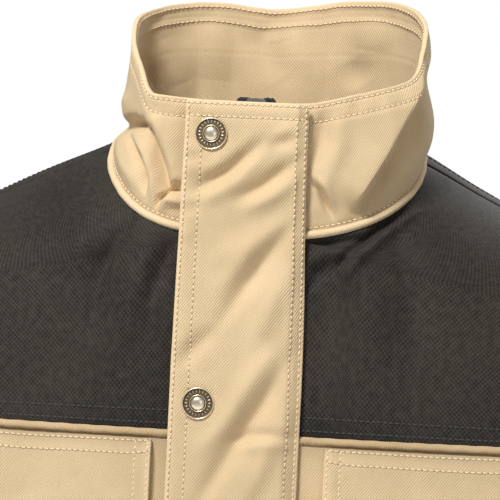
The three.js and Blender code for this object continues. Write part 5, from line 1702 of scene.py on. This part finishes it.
A_N = 84
a_lin = np.arange(A_N) / A_N
t_slv = even_t(140, 0.0, T_CUFF + 0.004)
t_cuf = lines_with(np.linspace(T_CUFF, 1.0, 20), [T_CUFF + 0.012, 1 - 0.012], 0.006)
cuff_sheets = {}
for side, tag in ((1, "left"), (-1, "right")):
    seed = 200 if side > 0 else 300
    T_, A_ = np.meshgrid(t_slv, a_lin, indexing="ij")
    P = sleeve_point(A_, T_)
    if side < 0:
        P = mirror(P)
    sh = Sheet(a_lin, t_slv, P, closed=True)
    test = sh.N[60, 0] @ np.array([side, 0, 0.3])
    if test < 0:
        sh.flip = True
        sh.refresh()
    h = sleeve_folds(A_, T_, P, seed)
    # eased fullness where the sleeve head meets the armhole
    h += 1.6 * np.exp(-(((T_ - 0.022) / 0.014) ** 2)) * (0.5 + 0.5 * np.cos(A_ * 2 * math.pi))
    sh.push(h)
    sh.P[0] = P[0]
    sh.refresh()
    # seam mask at the armhole and cuff seams: dirt and painted shade
    seam = np.exp(-(T_ / 0.012)) + np.exp(-(T_CUFF - T_) / 0.01)
    U, V = sh.uv_grid()
    ob = sh.build("sleeve_%s_cloth" % tag, 2.2, TWILL, attrs={"seam": np.clip(seam, 0, 1)})
    declare(ob, sh)
    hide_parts("sleeve_" + tag)
    rows = []
    ws_ = (0.012,)
    for tt in ws_:
        aa = np.linspace(0, 0.985, 700)
        rows.append(sh.at(aa * a_lin[-1] / 0.985, np.full(700, tt)))
    # two-needle seam down the back of the sleeve
    for aa in (0.655, 0.668):
        rows.append(sh.at(np.full(900, aa), np.linspace(0.03, T_CUFF - 0.01, 900)))
    st = stitch_object("stitch_sleeve_" + tag, rows, THREAD, pitch=3.2)
    # points round the top of the sleeve and the step down from them; no armhole welt is built from them
    aa = np.linspace(0, 1, 260)
    ringp = sleeve_point(aa, np.full(260, 0.0))
    ringn = sleeve_point(aa, np.full(260, 0.02)) - ringp
    for o in (ob, st):
        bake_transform(o)
        pieces[o.name] = o

    T_, A_ = np.meshgrid(t_cuf, a_lin, indexing="ij")
    P = sleeve_point(A_, T_)
    if side < 0:
        P = mirror(P)
    sh = Sheet(a_lin, t_cuf, P, closed=True)
    if sh.N[4, 0] @ np.array([side, 0, 0.3]) < 0:
        sh.flip = True
        sh.refresh()
    mm = (T_ - T_CUFF) * 500
    mm2 = (1 - T_) * 500
    h = 0.9 + 0.6 * field(seed + 20, np.cos(A_ * 6.283) * 45, np.sin(A_ * 6.283) * 45 + mm, 20, 25)
    h += 0.6 * creases(seed + 21, mm + np.cos(A_ * 6.283) * 20, np.sin(A_ * 6.283) * 45, 9, 30)
    h -= 0.4 * np.exp(-(((mm - 6) / 1.6) ** 2)) + 0.4 * np.exp(-(((mm2 - 6) / 1.6) ** 2))
    sh.push(h)
    cuff_sheets[side] = sh
    declare(keep(sh.build("cuff_%s_cloth" % tag, 3.0, TWILL, attrs={"wear": np.exp(-mm / 3) + np.exp(-mm2 / 3)}), "sleeve_" + tag, "cuff_" + tag), sh)
    rows = []
    for tt in (T_CUFF + 0.012, 1 - 0.012):
        rows.append(sh.at(np.linspace(0, a_lin[-1], 500), np.full(500, tt)))
    keep(stitch_object("stitch_cuff_" + tag, rows, THREAD), "sleeve_" + tag)
    # cuff tab
    qs = lines_with(np.linspace(0, 1, 26), [0.03, 0.97], 0.012)
    ws = lines_with(np.linspace(0, 1, 12), [0.09, 0.91], 0.04)
    W, Q = np.meshgrid(ws, qs, indexing="ij")
    aa = lerp(0.765, 0.955 , Q)
    half_t = 0.5 - 0.5 * smooth(Q, 0.86, 1.02) * 0.55
    tt = 0.945 + (W - 0.5) * 0.054 * (half_t * 2)
    P0_ = sleeve_point(aa, tt)
    if side < 0:
        P0_ = mirror(P0_)
    sh = Sheet(qs, ws, P0_)
    mid_n = sh.N[6, 13]
    outw = np.array([side * 0.6, 0.8, 0])
    if mid_n @ outw < 0:
        sh.flip = True
        sh.refresh()
    sh.push(3.2 + 0.25 * field(seed + 30, Q * 60, W * 28, 12, 12) - 0.8 * smooth(0.06 - Q, 0, 0.06))
    tb = sh.build("cuff_tab_%s_cloth" % tag, 1.9, TWILL, attrs=edge_attrs(sh))
    declare(tb, sh)
    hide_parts("cuff_tab_" + tag)
    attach(tb, "cuff_tab_" + tag)
    st = stitch_object("stitch_cuff_tab_" + tag, [path(sh, [(0.03, 0.09), (0.86, 0.09), (0.97, 0.3), (0.97, 0.7), (0.86, 0.91), (0.03, 0.91), (0.03, 0.09)], 400)], THREAD)
    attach(st, "cuff_tab_" + tag)
    p, n = sh.at(np.array([0.83]), np.array([0.5]))
    ob = place_lathe("cuff_snap_%s_brass" % tag, CAP, snap_frame(p[0] + n[0] * 0.0, n[0], 0.2), BRASS, bumps=knurl, n=96)
    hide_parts("cuff_snap_cap_" + tag)
    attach(ob, "cuff_tab_" + tag)

# ---------------------------------------------------------------- floor, light, camera
import bmesh

me = bpy.data.meshes.new("floor")
bm = bmesh.new()
bmesh.ops.create_grid(bm, x_segments=1, y_segments=1, size=6.0)
bm.to_mesh(me)
bm.free()
floor = bpy.data.objects.new("floor", me)
floor.location = (0, 0, -0.80)
bpy.context.collection.objects.link(floor)
fm, nt, b = new_material("floor")
col = mix_color(nt, noise(nt, node(nt, "ShaderNodeTexCoord").outputs["Object"], 3.0, 2.0), (0.86, 0.86, 0.855), (0.90, 0.90, 0.895))
nt.links.new(col, b.inputs["Base Color"])
b.inputs["Roughness"].default_value = 0.7
me.materials.append(fm)

scene = bpy.context.scene
world = bpy.data.worlds.new("studio")
world.use_nodes = True
wt = world.node_tree
wt.nodes.clear()
w_out, w_mix, w_seen, w_lit = (wt.nodes.new(k) for k in ("ShaderNodeOutputWorld", "ShaderNodeMixShader", "ShaderNodeBackground", "ShaderNodeBackground"))
w_seen.inputs["Color"].default_value = (1, 1, 1, 1)
w_seen.inputs["Strength"].default_value = 1.0
w_lit.inputs["Color"].default_value = (1.0, 1.0, 1.0, 1)
w_lit.inputs["Strength"].default_value = 0.28
wt.links.new(wt.nodes.new("ShaderNodeLightPath").outputs["Is Camera Ray"], w_mix.inputs[0])
wt.links.new(w_lit.outputs[0], w_mix.inputs[1])
wt.links.new(w_seen.outputs[0], w_mix.inputs[2])
wt.links.new(w_mix.outputs[0], w_out.inputs[0])
scene.world = world


def area_light(name, loc, target, size, power, color=(1, 1, 1)):
    d = bpy.data.lights.new(name, "AREA")
    d.shape, d.size, d.energy, d.color = "RECTANGLE", size[0], power, color
    d.size_y = size[1]
    o = bpy.data.objects.new(name, d)
    o.location = loc
    v = Vector(target) - Vector(loc)
    o.rotation_euler = v.to_track_quat("-Z", "Y").to_euler()
    bpy.context.collection.objects.link(o)
    return o


area_light("key", (-0.62, -1.30, 1.62), (0, -0.05, -0.05), (0.42, 0.42), 55)
area_light("fill", (0.9, -2.0, 0.2), (0, -0.05, -0.1), (0.8, 0.8), 3)
area_light("rear", (0.9, 1.9, 1.0), (0, 0, -0.3), (1.0, 1.0), 26)

C, R, U, F = camera_axes()
cam_data = bpy.data.cameras.new("camera")
cam_data.sensor_width = 36.0
cam_data.lens = CAM["f"] * 36.0 / 500.0
cam_data.clip_start, cam_data.clip_end = 0.05, 50.0
cam = bpy.data.objects.new("camera", cam_data)
M = Matrix.Identity(4)
for k in range(3):
    M[k][0], M[k][1], M[k][2] = R[k], U[k], -F[k]
    M[k][3] = float((C[k] - EYE[k]) / 1000.0)
cam.matrix_world = M
bpy.context.collection.objects.link(cam)
scene.camera = cam
scene.view_settings.view_transform = "Standard"
scene.view_settings.look = "None"
